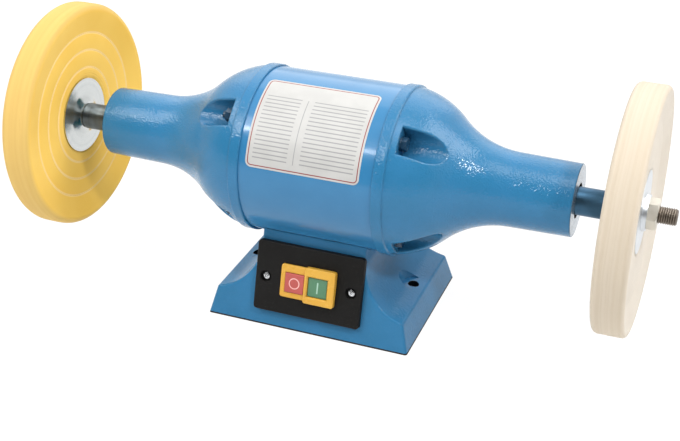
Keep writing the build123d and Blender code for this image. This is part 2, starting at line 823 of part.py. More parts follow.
def wheel_face(middle_x, side, edge_r):
    """One face of a wheel from bore to rim corner: hub, step past the flange, sewn rings, then the flare."""
    rings = [face_start_r + face_run, *stitch_rings]
    face_x = middle_x + side * face_half
    hub = [(middle_x + side * grip_half, hole_r), (middle_x + side * grip_half, face_start_r)]
    Polyline(*hub, (face_x, rings[0]))
    for r0, r1 in zip(rings, rings[1:]):
        ThreePointArc((face_x, r0), (face_x + side * stitch_bulge, (r0 + r1) / 2), (face_x, r1))
    corner = (middle_x + side * rim_half, wheel_r - edge_r)
    rim = (middle_x + side * (rim_half - edge_r), wheel_r)
    bend = edge_r * (1 - cos(radians(45)))
    Line((face_x, rings[-1]), corner)
    ThreePointArc(corner, (middle_x + side * (rim_half - bend), wheel_r - bend), rim)
    return hub[0], rim


with BuildPart() as left_wheel:
    with BuildSketch(meridian):
        with BuildLine():
            inner_bore, inner_rim = wheel_face(-wheel_x, 1, cotton_edge_r)
            outer_bore, outer_rim = wheel_face(-wheel_x, -1, cotton_edge_r)
            Line(inner_bore, outer_bore)
            Line(inner_rim, outer_rim)
        make_face()
    revolve(axis=spindle_axis)
finish(left_wheel, "left_wheel")

layer_t = (wheel_rim_t - 2 * layer_edge_r) / layer_count
with BuildPart() as right_wheel:
    with BuildSketch(meridian):
        with BuildLine():
            inner_bore, inner_rim = wheel_face(wheel_x, -1, layer_edge_r)
            outer_bore, outer_rim = wheel_face(wheel_x, 1, layer_edge_r)
            Line(inner_bore, outer_bore)
            Line(inner_rim, outer_rim)
        make_face()
        with Locations((wheel_x, wheel_r)):
            with GridLocations(layer_t, 0, layer_count - 1, 1):
                Rectangle(layer_notch_w, 2 * layer_notch_d, mode=Mode.SUBTRACT)
    revolve(axis=spindle_axis)
finish(right_wheel, "right_wheel")

# Spindle nuts: thin hexagons, chamfered on the outside
nut_corner_r = nut_af / sqrt(3)
nut_chamfer_x = (nut_corner_r - nut_af / 2) * tan(radians(nut_chamfer))
with BuildPart() as spindle_nut:
    with BuildSketch(station(nut_x)):
        RegularPolygon(nut_af / 2, 6, major_radius=False)
        Circle(hole_r, mode=Mode.SUBTRACT)
    extrude(amount=nut_t)
    with BuildSketch(meridian):
        with BuildLine():
            Polyline(
                (nut_x, 0),
                (nut_x, nut_corner_r),
                (nut_x + nut_t - nut_chamfer_x, nut_corner_r),
                (nut_x + nut_t, nut_af / 2),
                (nut_x + nut_t, 0),
                close=True,
            )
        make_face()
    revolve(axis=spindle_axis, mode=Mode.INTERSECT)
finish_pair(spindle_nut, "spindle_nut")

# Switch plate, with a cup for each of its screws
with BuildPart() as switch_plate:
    with BuildSketch(panel):
        RectangleRounded(plate_w, plate_h, plate_corner_r)
        with Locations(stop_place, start_place):
            Rectangle(well_w, well_h, mode=Mode.SUBTRACT)
    extrude(amount=plate_t)
    plate_face = switch_plate.faces().sort_by(panel_axis)[-1]
    fillet(plate_face.outer_wire().edges(), plate_edge_r)
    with BuildSketch(screw_seat):
        with Locations(*plate_screw_places):
            Circle(screw_cup_r)
    extrude(amount=screw_cup_d, mode=Mode.SUBTRACT)
    with Locations(screw_seat):
        with Locations(*plate_screw_places):
            Cylinder(plate_screw_r + bolt_gap, 2 * plate_t, mode=Mode.SUBTRACT)
finish(switch_plate, "switch_plate")

with BuildPart() as switch_plate_screws:
    with BuildSketch(screw_seat):
        with Locations(*plate_screw_places):
            Circle(plate_screw_head_r)
    extrude(amount=plate_screw_head_t)
    head_tops = switch_plate_screws.faces().filter_by(panel_axis).sort_by(panel_axis)[-2:]
    fillet(head_tops.edges(), plate_screw_edge_r)
    with BuildSketch(screw_seat):
        with Locations(*plate_screw_places):
            Circle(plate_screw_r)
    extrude(amount=-plate_screw_len)
finish(switch_plate_screws, "switch_plate_screws")

# Switch bezel: low round the stop button, raised into a guard round the start button
guard_left = stop_x + well_w / 2
guard_right = bezel_w / 2 + guard_lap
with BuildPart() as switch_bezel:
    with BuildSketch(plate_front):
        with Locations((0, bezel_up)):
            RectangleRounded(bezel_w, bezel_h, bezel_corner_r)
    extrude(amount=bezel_t)
    bezel_face = switch_bezel.faces().sort_by(panel_axis)[-1]
    fillet(bezel_face.outer_wire().edges(), bezel_edge_r)
    with BuildSketch(plate_front):
        with Locations(((guard_left + guard_right) / 2, bezel_up)):
            RectangleRounded(guard_right - guard_left, bezel_h + 2 * guard_lap, bezel_corner_r)
    extrude(amount=guard_t)
    with BuildSketch(plate_front):
        with Locations(stop_place, start_place):
            Rectangle(well_w, well_h)
    extrude(amount=guard_t, mode=Mode.SUBTRACT)
    guard_top = switch_bezel.faces().sort_by(panel_axis)[-1]
    fillet(guard_top.outer_wire().edges(), bezel_edge_r)
    guard_top = switch_bezel.faces().sort_by(panel_axis)[-1]
    chamfer(guard_top.inner_wires().edges(), guard_bevel)
finish(switch_bezel, "switch_bezel")

# Push buttons, guided by the bezel and the switch body
for name, place, proud in (("stop", stop_place, stop_proud), ("start", start_place, start_proud)):
    with BuildPart() as push_button:
        with BuildSketch(panel.offset(-button_root)):
            with Locations(place):
                RectangleRounded(button_w, button_h, button_corner_r)
        extrude(amount=button_root + plate_t + proud)
        cap = push_button.faces().sort_by(panel_axis)[-1]
        fillet(cap.outer_wire().edges(), button_edge_r)
    finish(push_button, f"{name}_button")

# Return springs, one behind each button
spring_len = well_depth - button_root - 2 * (spring_wire_r + spring_end_gap)
for name, place in (("stop", stop_place), ("start", start_place)):
    spring_foot = panel.from_local_coords((*place, spring_wire_r + spring_end_gap - well_depth))
    with BuildPart() as return_spring:
        with BuildLine() as coil:
            Helix(spring_len / spring_turns, spring_len, spring_r, spring_foot, panel.z_dir)
        with BuildSketch(Plane(coil.line @ 0, z_dir=coil.line % 0)):
            Circle(spring_wire_r)
        sweep(path=coil.line, is_frenet=True)
    finish(return_spring, f"{name}_spring")

# Switch body behind the plate, with a well for each button
with BuildPart() as switch_body:
    with BuildSketch(panel):
        with Locations(switch_body_place):
            Rectangle(switch_body_w, switch_body_h)
    extrude(amount=-switch_body_d)
    with BuildSketch(panel):
        with Locations(stop_place, start_place):
            Rectangle(well_w, well_h)
    extrude(amount=-well_depth, mode=Mode.SUBTRACT)
finish(switch_body, "switch_body")

# Run capacitor on the cover plate, its strap and the strap's screws
capacitor_z = cover_top + capacitor_r + face_gap
with BuildPart() as capacitor:
    with Locations((capacitor_x, capacitor_y, capacitor_z)):
        Cylinder(capacitor_r, capacitor_len, rotation=(0, 90, 0))
    fillet(capacitor.edges().filter_by(GeomType.CIRCLE), capacitor_edge_r)
finish(capacitor, "capacitor")

strap_corner = (capacitor_x - strap_w / 2, capacitor_y, cover_top)
strap_plane = Plane(origin=strap_corner, x_dir=(0, 1, 0), z_dir=(1, 0, 0))
strap_rise = capacitor_z - cover_top
strap_screw_plane = Plane(origin=(capacitor_x, capacitor_y, cover_top + strap_t))
with BuildPart() as capacitor_strap:
    with BuildSketch(strap_plane):
        with Locations((0, strap_rise)):
            Circle(strap_out_r)
        Rectangle(2 * strap_out_r, strap_rise, align=(Align.CENTER, Align.MIN))
        Rectangle(2 * (strap_out_r + strap_foot), strap_t, align=(Align.CENTER, Align.MIN))
        with Locations((0, strap_rise)):
            Circle(strap_in_r, mode=Mode.SUBTRACT)
        Rectangle(2 * strap_in_r, strap_rise, align=(Align.CENTER, Align.MIN), mode=Mode.SUBTRACT)
        Rectangle(4 * strap_out_r, 2 * strap_out_r, align=(Align.CENTER, Align.MAX), mode=Mode.SUBTRACT)
    extrude(amount=strap_w)
    with Locations(strap_screw_plane):
        with GridLocations(0, 2 * strap_screw_y, 1, 2):
            Cylinder(strap_screw_r + bolt_gap, 4 * strap_t, mode=Mode.SUBTRACT)
finish(capacitor_strap, "capacitor_strap")

with BuildPart() as capacitor_strap_screws:
    with BuildSketch(strap_screw_plane):
        with GridLocations(0, 2 * strap_screw_y, 1, 2):
            Circle(strap_screw_head_r)
    extrude(amount=strap_screw_head_t)
    with BuildSketch(strap_screw_plane):
        with GridLocations(0, 2 * strap_screw_y, 1, 2):
            Circle(strap_screw_r)
    extrude(amount=-strap_t - cover_t - strap_screw_end)
finish(capacitor_strap_screws, "capacitor_strap_screws")

# Terminal block, bonded to the cover plate
with BuildPart() as terminal_block:
    with Locations((terminal_x, terminal_y, cover_top)):
        Box(terminal_w, terminal_len, terminal_h, align=(Align.CENTER, Align.CENTER, Align.MIN))
    with Locations((terminal_x, terminal_y, cover_top + terminal_h)):
        with GridLocations(terminal_w / 2, terminal_len / terminal_ways, 2, terminal_ways):
            Cylinder(terminal_hole_r, terminal_h, mode=Mode.SUBTRACT)
finish(terminal_block, "terminal_block")

# Cable gland in the rear wall, and its lock nut inside
gland_inner = base_wall + gland_nut_t + gland_thread_end
with BuildPart() as cable_gland:
    with BuildSketch(gland_place):
        RegularPolygon(gland_hex_af / 2, 6, major_radius=False)
    extrude(amount=gland_hex_t)
    with BuildSketch(gland_place.offset(gland_hex_t)):
        Circle(gland_dome_r)
    extrude(amount=gland_dome_t, taper=gland_dome_taper)
    with BuildSketch(gland_place):
        Circle(gland_thread_r)
    extrude(amount=-gland_inner)
    with BuildSketch(gland_place.offset(gland_hex_t + gland_dome_t)):
        Circle(gland_bore_r)
    extrude(amount=-gland_hex_t - gland_dome_t - gland_inner, mode=Mode.SUBTRACT)
finish(cable_gland, "cable_gland")

with BuildPart() as cable_gland_nut:
    with BuildSketch(gland_place.offset(-base_wall)):
        RegularPolygon(gland_hex_af / 2, 6, major_radius=False)
        Circle(gland_thread_r + fit_gap, mode=Mode.SUBTRACT)
    extrude(amount=-gland_nut_t)
finish(cable_gland_nut, "cable_gland_nut")
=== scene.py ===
"""The looks of a double-ended bench polisher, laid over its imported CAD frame.

Sizes in the classes are millimetres and meshes are metres. X runs along the spindle, -Y is the switch side,
+Z is up, and the origin is the middle of the foot's underside.
"""

from __future__ import annotations

import json
import logging
from dataclasses import dataclass
from enum import Enum
from math import cos, pi, radians, sin

import bmesh
import bpy
import numpy as np
from mathutils import Matrix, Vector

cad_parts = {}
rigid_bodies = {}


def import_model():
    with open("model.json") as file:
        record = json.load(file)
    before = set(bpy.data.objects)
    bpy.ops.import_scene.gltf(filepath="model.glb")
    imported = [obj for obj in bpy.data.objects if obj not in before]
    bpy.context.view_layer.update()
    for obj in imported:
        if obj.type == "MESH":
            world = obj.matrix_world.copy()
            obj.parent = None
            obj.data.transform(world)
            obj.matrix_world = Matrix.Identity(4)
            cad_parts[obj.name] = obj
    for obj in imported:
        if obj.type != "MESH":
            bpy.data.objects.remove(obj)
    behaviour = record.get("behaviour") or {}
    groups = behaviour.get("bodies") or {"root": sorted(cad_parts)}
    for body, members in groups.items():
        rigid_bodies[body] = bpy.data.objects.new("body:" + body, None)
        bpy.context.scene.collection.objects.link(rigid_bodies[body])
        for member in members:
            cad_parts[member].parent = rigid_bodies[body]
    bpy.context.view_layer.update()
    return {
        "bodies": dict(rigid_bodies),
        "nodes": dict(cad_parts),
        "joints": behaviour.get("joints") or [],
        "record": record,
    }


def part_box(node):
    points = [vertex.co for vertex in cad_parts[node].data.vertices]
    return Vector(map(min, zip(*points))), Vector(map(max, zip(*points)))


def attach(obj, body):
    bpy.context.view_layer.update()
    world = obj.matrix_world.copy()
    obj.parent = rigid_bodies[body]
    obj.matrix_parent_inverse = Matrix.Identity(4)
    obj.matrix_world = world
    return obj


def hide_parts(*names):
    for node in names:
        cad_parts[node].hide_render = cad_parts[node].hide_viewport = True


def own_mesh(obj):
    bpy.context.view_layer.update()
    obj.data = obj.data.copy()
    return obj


log = logging.getLogger("polisher")

MM = 0.001
AXIS_H = 135.0
STITCH_RINGS = (43.3, 58.8, 74.3)

Array = np.ndarray
Colour = tuple[float, float, float, float]
Pair = tuple[float, float]
Point = tuple[float, float, float]
Socket = bpy.types.NodeSocket
Value = float | str | Colour | Socket


def linear(code: str) -> Colour:
    """Turn a colour code such as #4285B8 into linear light.

    Args:
        code: Six hexadecimal digits after a hash sign.

    Returns:
        Red, green, blue and an alpha of one.
    """
    shares = [int(code[i : i + 2], 16) / 255 for i in (1, 3, 5)]
    red, green, blue = (s / 12.92 if s <= 0.04045 else ((s + 0.055) / 1.055) ** 2.4 for s in shares)
    return red, green, blue, 1.0


class End(Enum):
    """One end of the machine, with its sign along the spindle."""

    LEFT = -1
    RIGHT = 1

    def node(self, kind: str) -> str:
        """The name of this end's own node of a kind."""
        return f"{self.name.lower()}_{kind}"


class Lamp(Enum):
    """The lamps of the set."""

    CEILING = "ceiling"
    KEY = "key"
    STRIP = "strip"
    LEFT = "left"
    RIGHT = "right"
    BACK = "back"


# Node graphs


class Graph:
    """A node tree with short ways to add nodes and join them."""

    def __init__(self, tree: bpy.types.NodeTree) -> None:
        """Keep the tree that the nodes go into."""
        self.tree = tree

    @classmethod
    def bare(cls, owner: bpy.types.Material | bpy.types.World) -> Graph:
        """Empty the tree of a material or a world.

        Args:
            owner: What the tree belongs to.

        Returns:
            Its graph, with no nodes.
        """
        owner.use_nodes = True
        owner.node_tree.nodes.clear()
        return cls(owner.node_tree)

    def feed(self, socket: Socket, value: Value) -> None:
        """Join a socket to another one, or set its own value.

        Args:
            socket: The input.
            value: Another socket, a number, a colour, or a colour code, which is turned into light.
        """
        if isinstance(value, bpy.types.NodeSocket):
            self.tree.links.new(value, socket)
        else:
            socket.default_value = linear(value) if isinstance(value, str) else value

    def add(self, kind: str, feeds: dict | None = None, **settings: object) -> bpy.types.Node:
        """Add a shader node.

        Args:
            kind: The node's type, without the first part of Blender's name for it.
            feeds: Values for its inputs, by number or name.
            settings: Properties set on the node.

        Returns:
            The new node.
        """
        node = self.tree.nodes.new(f"ShaderNode{kind}")
        for name, setting in settings.items():
            setattr(node, name, setting)
        for key, value in (feeds or {}).items():
            self.feed(node.inputs[key], value)
        return node

    def math(self, operation: str, *values: Value) -> Socket:
        """A Math node on up to three values."""
        return self.add("Math", dict(enumerate(values)), operation=operation).outputs[0]

    def parts(self, vector: Value) -> tuple[Socket, ...]:
        """The three coordinates of a vector."""
        return tuple(self.add("SeparateXYZ", {0: vector}).outputs)

    def noise(self, vector: Value, scale: Value, detail: float) -> Socket:
        """Noise from nought to one over a vector, with so many lumps to a metre."""
        return self.add("TexNoise", {"Vector": vector, "Scale": scale, "Detail": detail}).outputs[0]

    def line_noise(self, along: Value, scale: Value, detail: float) -> Socket:
        """Noise that changes along one coordinate only."""
        feeds = {"W": along, "Scale": scale, "Detail": detail}
        return self.add("TexNoise", feeds, noise_dimensions="1D").outputs[0]

    def span(self, value: Value, start: float, end: float, low: float = 0.0, high: float = 1.0) -> Socket:
        """A smooth step of a value from start to end, as numbers from low to high."""
        feeds = dict(enumerate((value, start, end, low, high)))
        return self.add("MapRange", feeds, interpolation_type="SMOOTHSTEP").outputs[0]

    def beyond(self, length: Value, limit: float, soft: float) -> Socket:
        """One where a length is past a limit, after a soft edge, both in millimetres."""
        return self.span(length, limit * MM, (limit + soft) * MM)

    def within(self, length: Value, limit: float, soft: float) -> Socket:
        """One where a length is under a limit, before a soft edge, both in millimetres."""
        return self.span(length, limit * MM, (limit + soft) * MM, 1.0, 0.0)

    def blend(self, share: Value, first: Value, second: Value) -> Socket:
        """A colour that goes from first to second with a share."""
        return self.add("Mix", {0: share, 6: first, 7: second}, data_type="RGBA").outputs[2]

    def length(self, first: Value, second: Value) -> Socket:
        """The length of a line with these two parts square to each other."""
        square = self.math("MULTIPLY_ADD", first, first, self.math("MULTIPLY", second, second))
        return self.math("SQRT", square)

    def spindle_radius(self, vector: Value) -> Socket:
        """Distance from the spindle's axis."""
        _, y, z = self.parts(vector)
        return self.length(self.math("SUBTRACT", z, AXIS_H * MM), y)

    def call(self, group: bpy.types.NodeTree, **inputs: Value) -> dict[str, Socket]:
        """Place a node group.

        Args:
            group: The group to place.
            inputs: Values by the group's own input names, in lower case.

        Returns:
            The group's outputs by name.
        """
        feeds = {name.capitalize(): value for name, value in inputs.items()}
        return dict(self.add("Group", feeds, node_tree=group).outputs.items())


class Effects:
    """Shader node groups that several finishes share."""

    mottle = 28.0
    specks = 2600.0
    soiling = 17.0
    wander = 22.0
    cloth_edges = 900.0
    cloth_plies = 260.0
    middle = (0.3, 0.7)

    def __init__(self) -> None:
        """Build each group once."""
        self.skin = self._paint_skin()
        self.handling = self._handling()
        self.turning = self._turning()
        self.nap = self._nap()

    @staticmethod
    def _group(name: str, number: str, *outputs: str) -> tuple[Graph, Socket, Socket, dict[str, Socket]]:
        """Start a group with a place and a number in, and some numbers out.

        Args:
            name: The group's name.
            number: Name of the number input, after the vector input Place.
            outputs: Names of the number outputs.

        Returns:
            The graph, the place, the number, and the outputs by name.
        """
        tree = bpy.data.node_groups.new(name, "ShaderNodeTree")
        sockets = [("Place", "INPUT", "Vector"), (number, "INPUT", "Float")]
        sockets += [(label, "OUTPUT", "Float") for label in outputs]
        for label, way, kind in sockets:
            tree.interface.new_socket(label, in_out=way, socket_type=f"NodeSocket{kind}")
        place, value = tree.nodes.new("NodeGroupInput").outputs[:2]
        return Graph(tree), place, value, dict(tree.nodes.new("NodeGroupOutput").inputs.items())

    def _paint_skin(self) -> bpy.types.NodeTree:
        """Orange peel: fine lumps on broader ones as Height, and a slow mottle as Tone.

        Returns:
            The group.
        """
        graph, place, lumps, outs = self._group("paint_skin", "Lumps", "Height", "Tone")
        fine = graph.noise(place, lumps, 0.0)
        broad = graph.noise(place, graph.math("MULTIPLY", lumps, 0.3), 1.0)
        graph.feed(outs["Height"], graph.math("MULTIPLY_ADD", broad, 0.6, fine))
        graph.feed(outs["Tone"], graph.span(graph.noise(place, self.mottle, 4.0), *self.middle))
        return graph.tree

    def _handling(self) -> bpy.types.NodeTree:
        """Smudges from hands and cloths as Smudge, and specks of dust as Dust.

        Returns:
            The group.
        """
        graph, place, marks, outs = self._group("handling", "Marks", "Smudge", "Dust")
        patches = graph.noise(place, marks, 5.0)
        specks = graph.span(graph.noise(place, self.specks, 1.0), 0.68, 0.74)
        graph.feed(outs["Smudge"], graph.span(patches, 0.35, 0.7))
        graph.feed(outs["Dust"], graph.math("MULTIPLY", specks, patches))
        return graph.tree

    def _turning(self) -> bpy.types.NodeTree:
        """Lathe marks: noise along the radius and along the spindle as Height, its slow part as Tone.

        Returns:
            The group.
        """
        graph, place, lumps, outs = self._group("turning", "Lumps", "Height", "Tone")
        along, _, _ = graph.parts(place)
        sweep = graph.math("ADD", graph.spindle_radius(place), along)
        graph.feed(outs["Height"], graph.line_noise(sweep, lumps, 3.0))
        graph.feed(outs["Tone"], graph.line_noise(sweep, graph.math("MULTIPLY", lumps, 0.15), 1.0))
        return graph.tree

    def _nap(self) -> bpy.types.NodeTree:
        """Cloth: fibres as Height, slow soiling as Tone, and cloth edges along the spindle as Plies.

        Returns:
            The group.
        """
        graph, place, fibres, outs = self._group("nap", "Fibres", "Height", "Tone", "Plies")
        along, _, _ = graph.parts(place)
        fluff = graph.noise(place, fibres, 6.0)
        strayed = graph.math("MULTIPLY_ADD", graph.noise(place, self.wander, 1.0), 1.4 * MM, along)
        edges = graph.line_noise(strayed, self.cloth_edges, 2.0)
        plies = graph.line_noise(strayed, self.cloth_plies, 2.0)
        graph.feed(outs["Height"], graph.math("MULTIPLY_ADD", edges, 0.5, fluff))
        graph.feed(outs["Tone"], graph.span(graph.noise(place, self.soiling, 3.0), *self.middle))
        graph.feed(outs["Plies"], graph.span(plies, *self.middle))
        return graph.tree


# Finishes


class Coating:
    """A material under construction: its graph, its shader and its object coordinates."""

    def __init__(self, name: str, **plain: float | Colour) -> None:
        """Make a material with one shader.

        Args:
            name: The material's name.
            plain: Shader inputs that are the same all over, by name with low lines for spaces.
        """
        self.material = bpy.data.materials.new(name)
        self.material.use_nodes = True
        self.graph = Graph(self.material.node_tree)
        self.shader = next(n for n in self.graph.tree.nodes if n.type == "BSDF_PRINCIPLED")
        self.place = self.graph.add("TexCoord").outputs["Object"]
        labels = {label.lower(): label for label in self.shader.inputs.keys()}
        for key, value in plain.items():
            self.set(labels[key.replace("_", " ")], value)

    def set(self, label: str, value: Value) -> None:
        """Join or set one of the shader's inputs."""
        self.graph.feed(self.shader.inputs[label], value)

    def done(
        self, colour: Value, rough: Value, height: Value, depth_mm: float, edge_mm: float = 0.0
    ) -> bpy.types.Material:
        """Join colour, roughness and bumps to the shader.

        Args:
            colour: The base colour.
            rough: The roughness.
            height: Bumps, as numbers about nought to one.
            depth_mm: What a height of one stands for.
            edge_mm: Radius that the edges look rounded by, or nought.

        Returns:
            The finished material.
        """
        feeds = {"Distance": depth_mm * MM, "Height": height}
        if edge_mm:
            feeds["Normal"] = self.graph.add("Bevel", {"Radius": edge_mm * MM}, samples=4).outputs[0]
        self.set("Base Color", colour)
        self.set("Roughness", rough)
        self.set("Normal", self.graph.add("Bump", feeds).outputs[0])
        return self.material


@dataclass(frozen=True)
class Layer:
    """A colour that shows where a mask is one, and how much duller the finish is there."""

    mask: Socket
    colour: Value
    duller: float = 0.0


@dataclass(frozen=True)
class Finish:
    """A finish that wavers between two tones, with bumps, smudges, dust and coloured layers."""

    name: str
    colour: str
    shade: str
    rough: float
    lumps: float
    depth_mm: float
    edge_mm: float = 0.5
    shine: float = 0.5
    gloss: float = 0.0
    gloss_rough: float = 0.08
    ior: float = 1.5
    metallic: float = 0.0
    hand_marks: float = 70.0
    smudge: float = 0.12
    dust: float = 0.0
    dust_colour: str = "#C9C4BA"

    def relief(self, effects: Effects) -> bpy.types.NodeTree:
        """The group that gives the bumps and the tone."""
        return effects.skin

    def layers(self, coat: Coating, effects: Effects) -> list[Layer]:
        """Layers over the dust, which a plain finish has none of."""
        return []

    def material(self, effects: Effects) -> bpy.types.Material:
        """Build the finish.

        Args:
            effects: The shared node groups.

        Returns:
            The material.
        """
        coat = Coating(
            self.name, metallic=self.metallic, ior=self.ior, specular_ior_level=self.shine,
            coat_weight=self.gloss, coat_roughness=self.gloss_rough,
        )
        graph = coat.graph
        relief = graph.call(self.relief(effects), place=coat.place, lumps=self.lumps)
        hands = graph.call(effects.handling, place=coat.place, marks=self.hand_marks)
        colour = graph.blend(relief["Tone"], self.shade, self.colour)
        rough = graph.math("MULTIPLY_ADD", hands["Smudge"], self.smudge, self.rough)
        layers = self.layers(coat, effects)
        if self.dust:
            layers.insert(0, Layer(graph.math("MULTIPLY", hands["Dust"], self.dust), self.dust_colour))
        for layer in layers:
            colour = graph.blend(layer.mask, colour, layer.colour)
            if layer.duller:
                rough = graph.math("MULTIPLY_ADD", layer.mask, layer.duller, rough)
        return coat.done(colour, rough, relief["Height"], self.depth_mm, self.edge_mm)


@dataclass(frozen=True)
class Moulding(Finish):
    """Moulded plastic or black powder coat with a fine grain."""

    ior: float = 1.46
    dust: float = 0.2


@dataclass(frozen=True)
class Print(Finish):
    """Ink in one colour, a little uneven."""

    rough: float = 0.35
    lumps: float = 900.0
    depth_mm: float = 0.01
    edge_mm: float = 0.0
    ior: float = 1.45
    hand_marks: float = 90.0
    smudge: float = 0.15


@dataclass(frozen=True)
class Enamel(Finish):
    """Sprayed gloss enamel over a casting or a drawn tube."""

    ior: float = 1.42
    hand_marks: float = 38.0
    smudge: float = 0.07
    dust: float = 0.25
    dust_colour: str = "#9FC4DF"


@dataclass(frozen=True)
class FootEnamel(Enamel):
    """Enamel of the foot, darker along its lowest edge, with painted shade in the bolt holes."""

    sole_z: float = 0.0
    hole_x: float = 0.0
    hole_r: float = 4.75

    def layers(self, coat: Coating, effects: Effects) -> list[Layer]:
        """Mask the sole, and paint shade into the holes.

        Args:
            coat: The material under construction.
            effects: The shared node groups.

        Returns:
            The layers, from the lowest up.
        """
        graph = coat.graph
        along, y, z = graph.parts(coat.place)
        # The lowest 1.1 mm of the foot turns dark brown.
        sole = graph.within(z, self.sole_z, soft=0.4)
        off = graph.math("SUBTRACT", graph.math("ABSOLUTE", along), self.hole_x * MM)
        # Painted shade: near black inside the bolt holes, where shade falls.
        painted_hole_shade = graph.within(graph.length(off, y), self.hole_r, soft=0.25)
        return [Layer(sole, "#2A2420", duller=0.4), Layer(painted_hole_shade, "#10181F")]


@dataclass(frozen=True)
class BellEnamel(Enamel):
    """Enamel of the end bells: bare at the right nose's end, with painted shade in the bores and in the
    pockets.
    """

    nose_x: float = 0.0
    bore_r: float = 0.0
    pocket_x: float = 0.0
    pocket_r: float = 11.45
    bolt_circle_r: float = 60.0
    bolt_deg: float = 43.0
    facing: float = 1800.0

    def _pocket(self, graph: Graph, place: Socket) -> Socket:
        """Mask of the bolt pockets.

        Turned by the bolts' angle, the four bolts lie on the two axes, so the distance from the nearest is
        worked out from the larger and the smaller of the two coordinates.

        Args:
            graph: The material's graph.
            place: Object coordinates.

        Returns:
            One in a pocket, nought outside.
        """
        along, y, z = graph.parts(place)
        rise = graph.math("SUBTRACT", z, AXIS_H * MM)
        turn = radians(self.bolt_deg)
        sizes = []
        for first, second, lean in ((y, rise, sin(turn)), (rise, y, -sin(turn))):
            across = graph.math("MULTIPLY_ADD", first, cos(turn), graph.math("MULTIPLY", second, lean))
            sizes.append(graph.math("ABSOLUTE", across))
        over = graph.math("SUBTRACT", graph.math("MAXIMUM", *sizes), self.bolt_circle_r * MM)
        near = graph.within(graph.length(over, graph.math("MINIMUM", *sizes)), self.pocket_r, soft=1.15)
        deep = graph.beyond(graph.math("ABSOLUTE", along), self.pocket_x, soft=0.4)
        return graph.math("MULTIPLY", near, deep)

    def layers(self, coat: Coating, effects: Effects) -> list[Layer]:
        """Mask the faced end of the right nose, and paint shade into the bores and the pockets.

        Args:
            coat: The material under construction.
            effects: The shared node groups.

        Returns:
            The layers, from the lowest up.
        """
        graph = coat.graph
        along, _, _ = graph.parts(coat.place)
        bare = graph.beyond(along, self.nose_x - 0.14, soft=0.08)
        coat.set("Metallic", graph.math("MULTIPLY", bare, 0.8))
        lathe = graph.call(effects.turning, place=coat.place, lumps=self.facing)
        faced = graph.blend(lathe["Tone"], "#AFBBC8", "#CFD9E4")
        # Painted shade: the bore and the end face just round it are painted near black, where the gap by the
        # shaft lies in shade.
        painted_bore_shade = graph.within(graph.spindle_radius(coat.place), self.bore_r, soft=0.3)
        # Painted shade: the bolt pockets are darkened a quarter of the way towards deep navy.
        painted_pocket_shade = graph.math("MULTIPLY", self._pocket(graph, coat.place), 0.25)
        return [
            Layer(bare, faced, duller=0.12),
            Layer(painted_bore_shade, "#0B0E11", duller=0.4),
            Layer(painted_pocket_shade, "#123A58"),
        ]


@dataclass(frozen=True)
class Metal(Finish):
    """Bare or plated metal with lathe or casting marks."""

    edge_mm: float = 0.25
    metallic: float = 1.0
    hand_marks: float = 120.0

    def relief(self, effects: Effects) -> bpy.types.NodeTree:
        """The group of lathe marks."""
        return effects.turning


@dataclass(frozen=True)
class ShaftSteel(Metal):
    """Steel of the spindle: bluer on the right, browner on the arbors, with painted shade in the thread's
    grooves.
    """

    arbor_r: float = 0.0
    groove: float = 0.6

    def layers(self, coat: Coating, effects: Effects) -> list[Layer]:
        """Mask the right end and the arbors, and paint shade into the grooves.

        Args:
            coat: The material under construction.
            effects: The shared node groups.

        Returns:
            The layers, from the lowest up.
        """
        graph = coat.graph
        along, _, _ = graph.parts(coat.place)
        radius = graph.spindle_radius(coat.place)
        right = graph.span(along, 0.0, 50.0 * MM, 0.0, 0.9)
        arbor = graph.within(radius, self.arbor_r + 0.5, soft=1.0)
        # Painted shade: the thread's grooves are darkened towards brown-black the deeper they lie below the
        # arbor's radius.
        groove = graph.within(radius, self.arbor_r - self.groove, soft=self.groove)
        dark = graph.math("MULTIPLY", groove, 0.6)
        return [Layer(right, "#3B627F"), Layer(arbor, "#A2988D"), Layer(dark, "#4A3F37")]


@dataclass(frozen=True)
class Cloth:
    """Stacked cloth of a polishing wheel: one colour on its faces, another on its cut edges."""

    name: str
    face: str
    face_shade: str
    rim: str
    rim_shade: str
    rim_from_r: float
    fibres: float = 2400.0
    depth_mm: float = 0.16
    rings: tuple[float, ...] = ()
    ring_half: float = 0.6
    ring_share: float = 0.6
    ring_colour: str = "#FCDFA8"

    def material(self, effects: Effects) -> bpy.types.Material:
        """Build the cloth, with a pale trace along each ring of stitches.

        Args:
            effects: The shared node groups.

        Returns:
            The material.
        """
        coat = Coating(self.name, sheen_weight=0.12, sheen_roughness=0.5, specular_ior_level=0.1)
        graph = coat.graph
        nap = graph.call(effects.nap, place=coat.place, fibres=self.fibres)
        face = graph.blend(nap["Tone"], self.face_shade, self.face)
        rim = graph.blend(nap["Plies"], self.rim_shade, self.rim)
        radius = graph.spindle_radius(coat.place)
        for ring in self.rings:
            off = graph.math("ABSOLUTE", graph.math("SUBTRACT", radius, ring * MM))
            trace = graph.math("MULTIPLY", graph.within(off, self.ring_half, soft=0.9), self.ring_share)
            face = graph.blend(trace, face, self.ring_colour)
        colour = graph.blend(graph.beyond(radius, self.rim_from_r, soft=5.0), face, rim)
        rough = graph.math("MULTIPLY_ADD", nap["Tone"], 0.1, 0.82)
        return coat.done(colour, rough, nap["Height"], self.depth_mm)


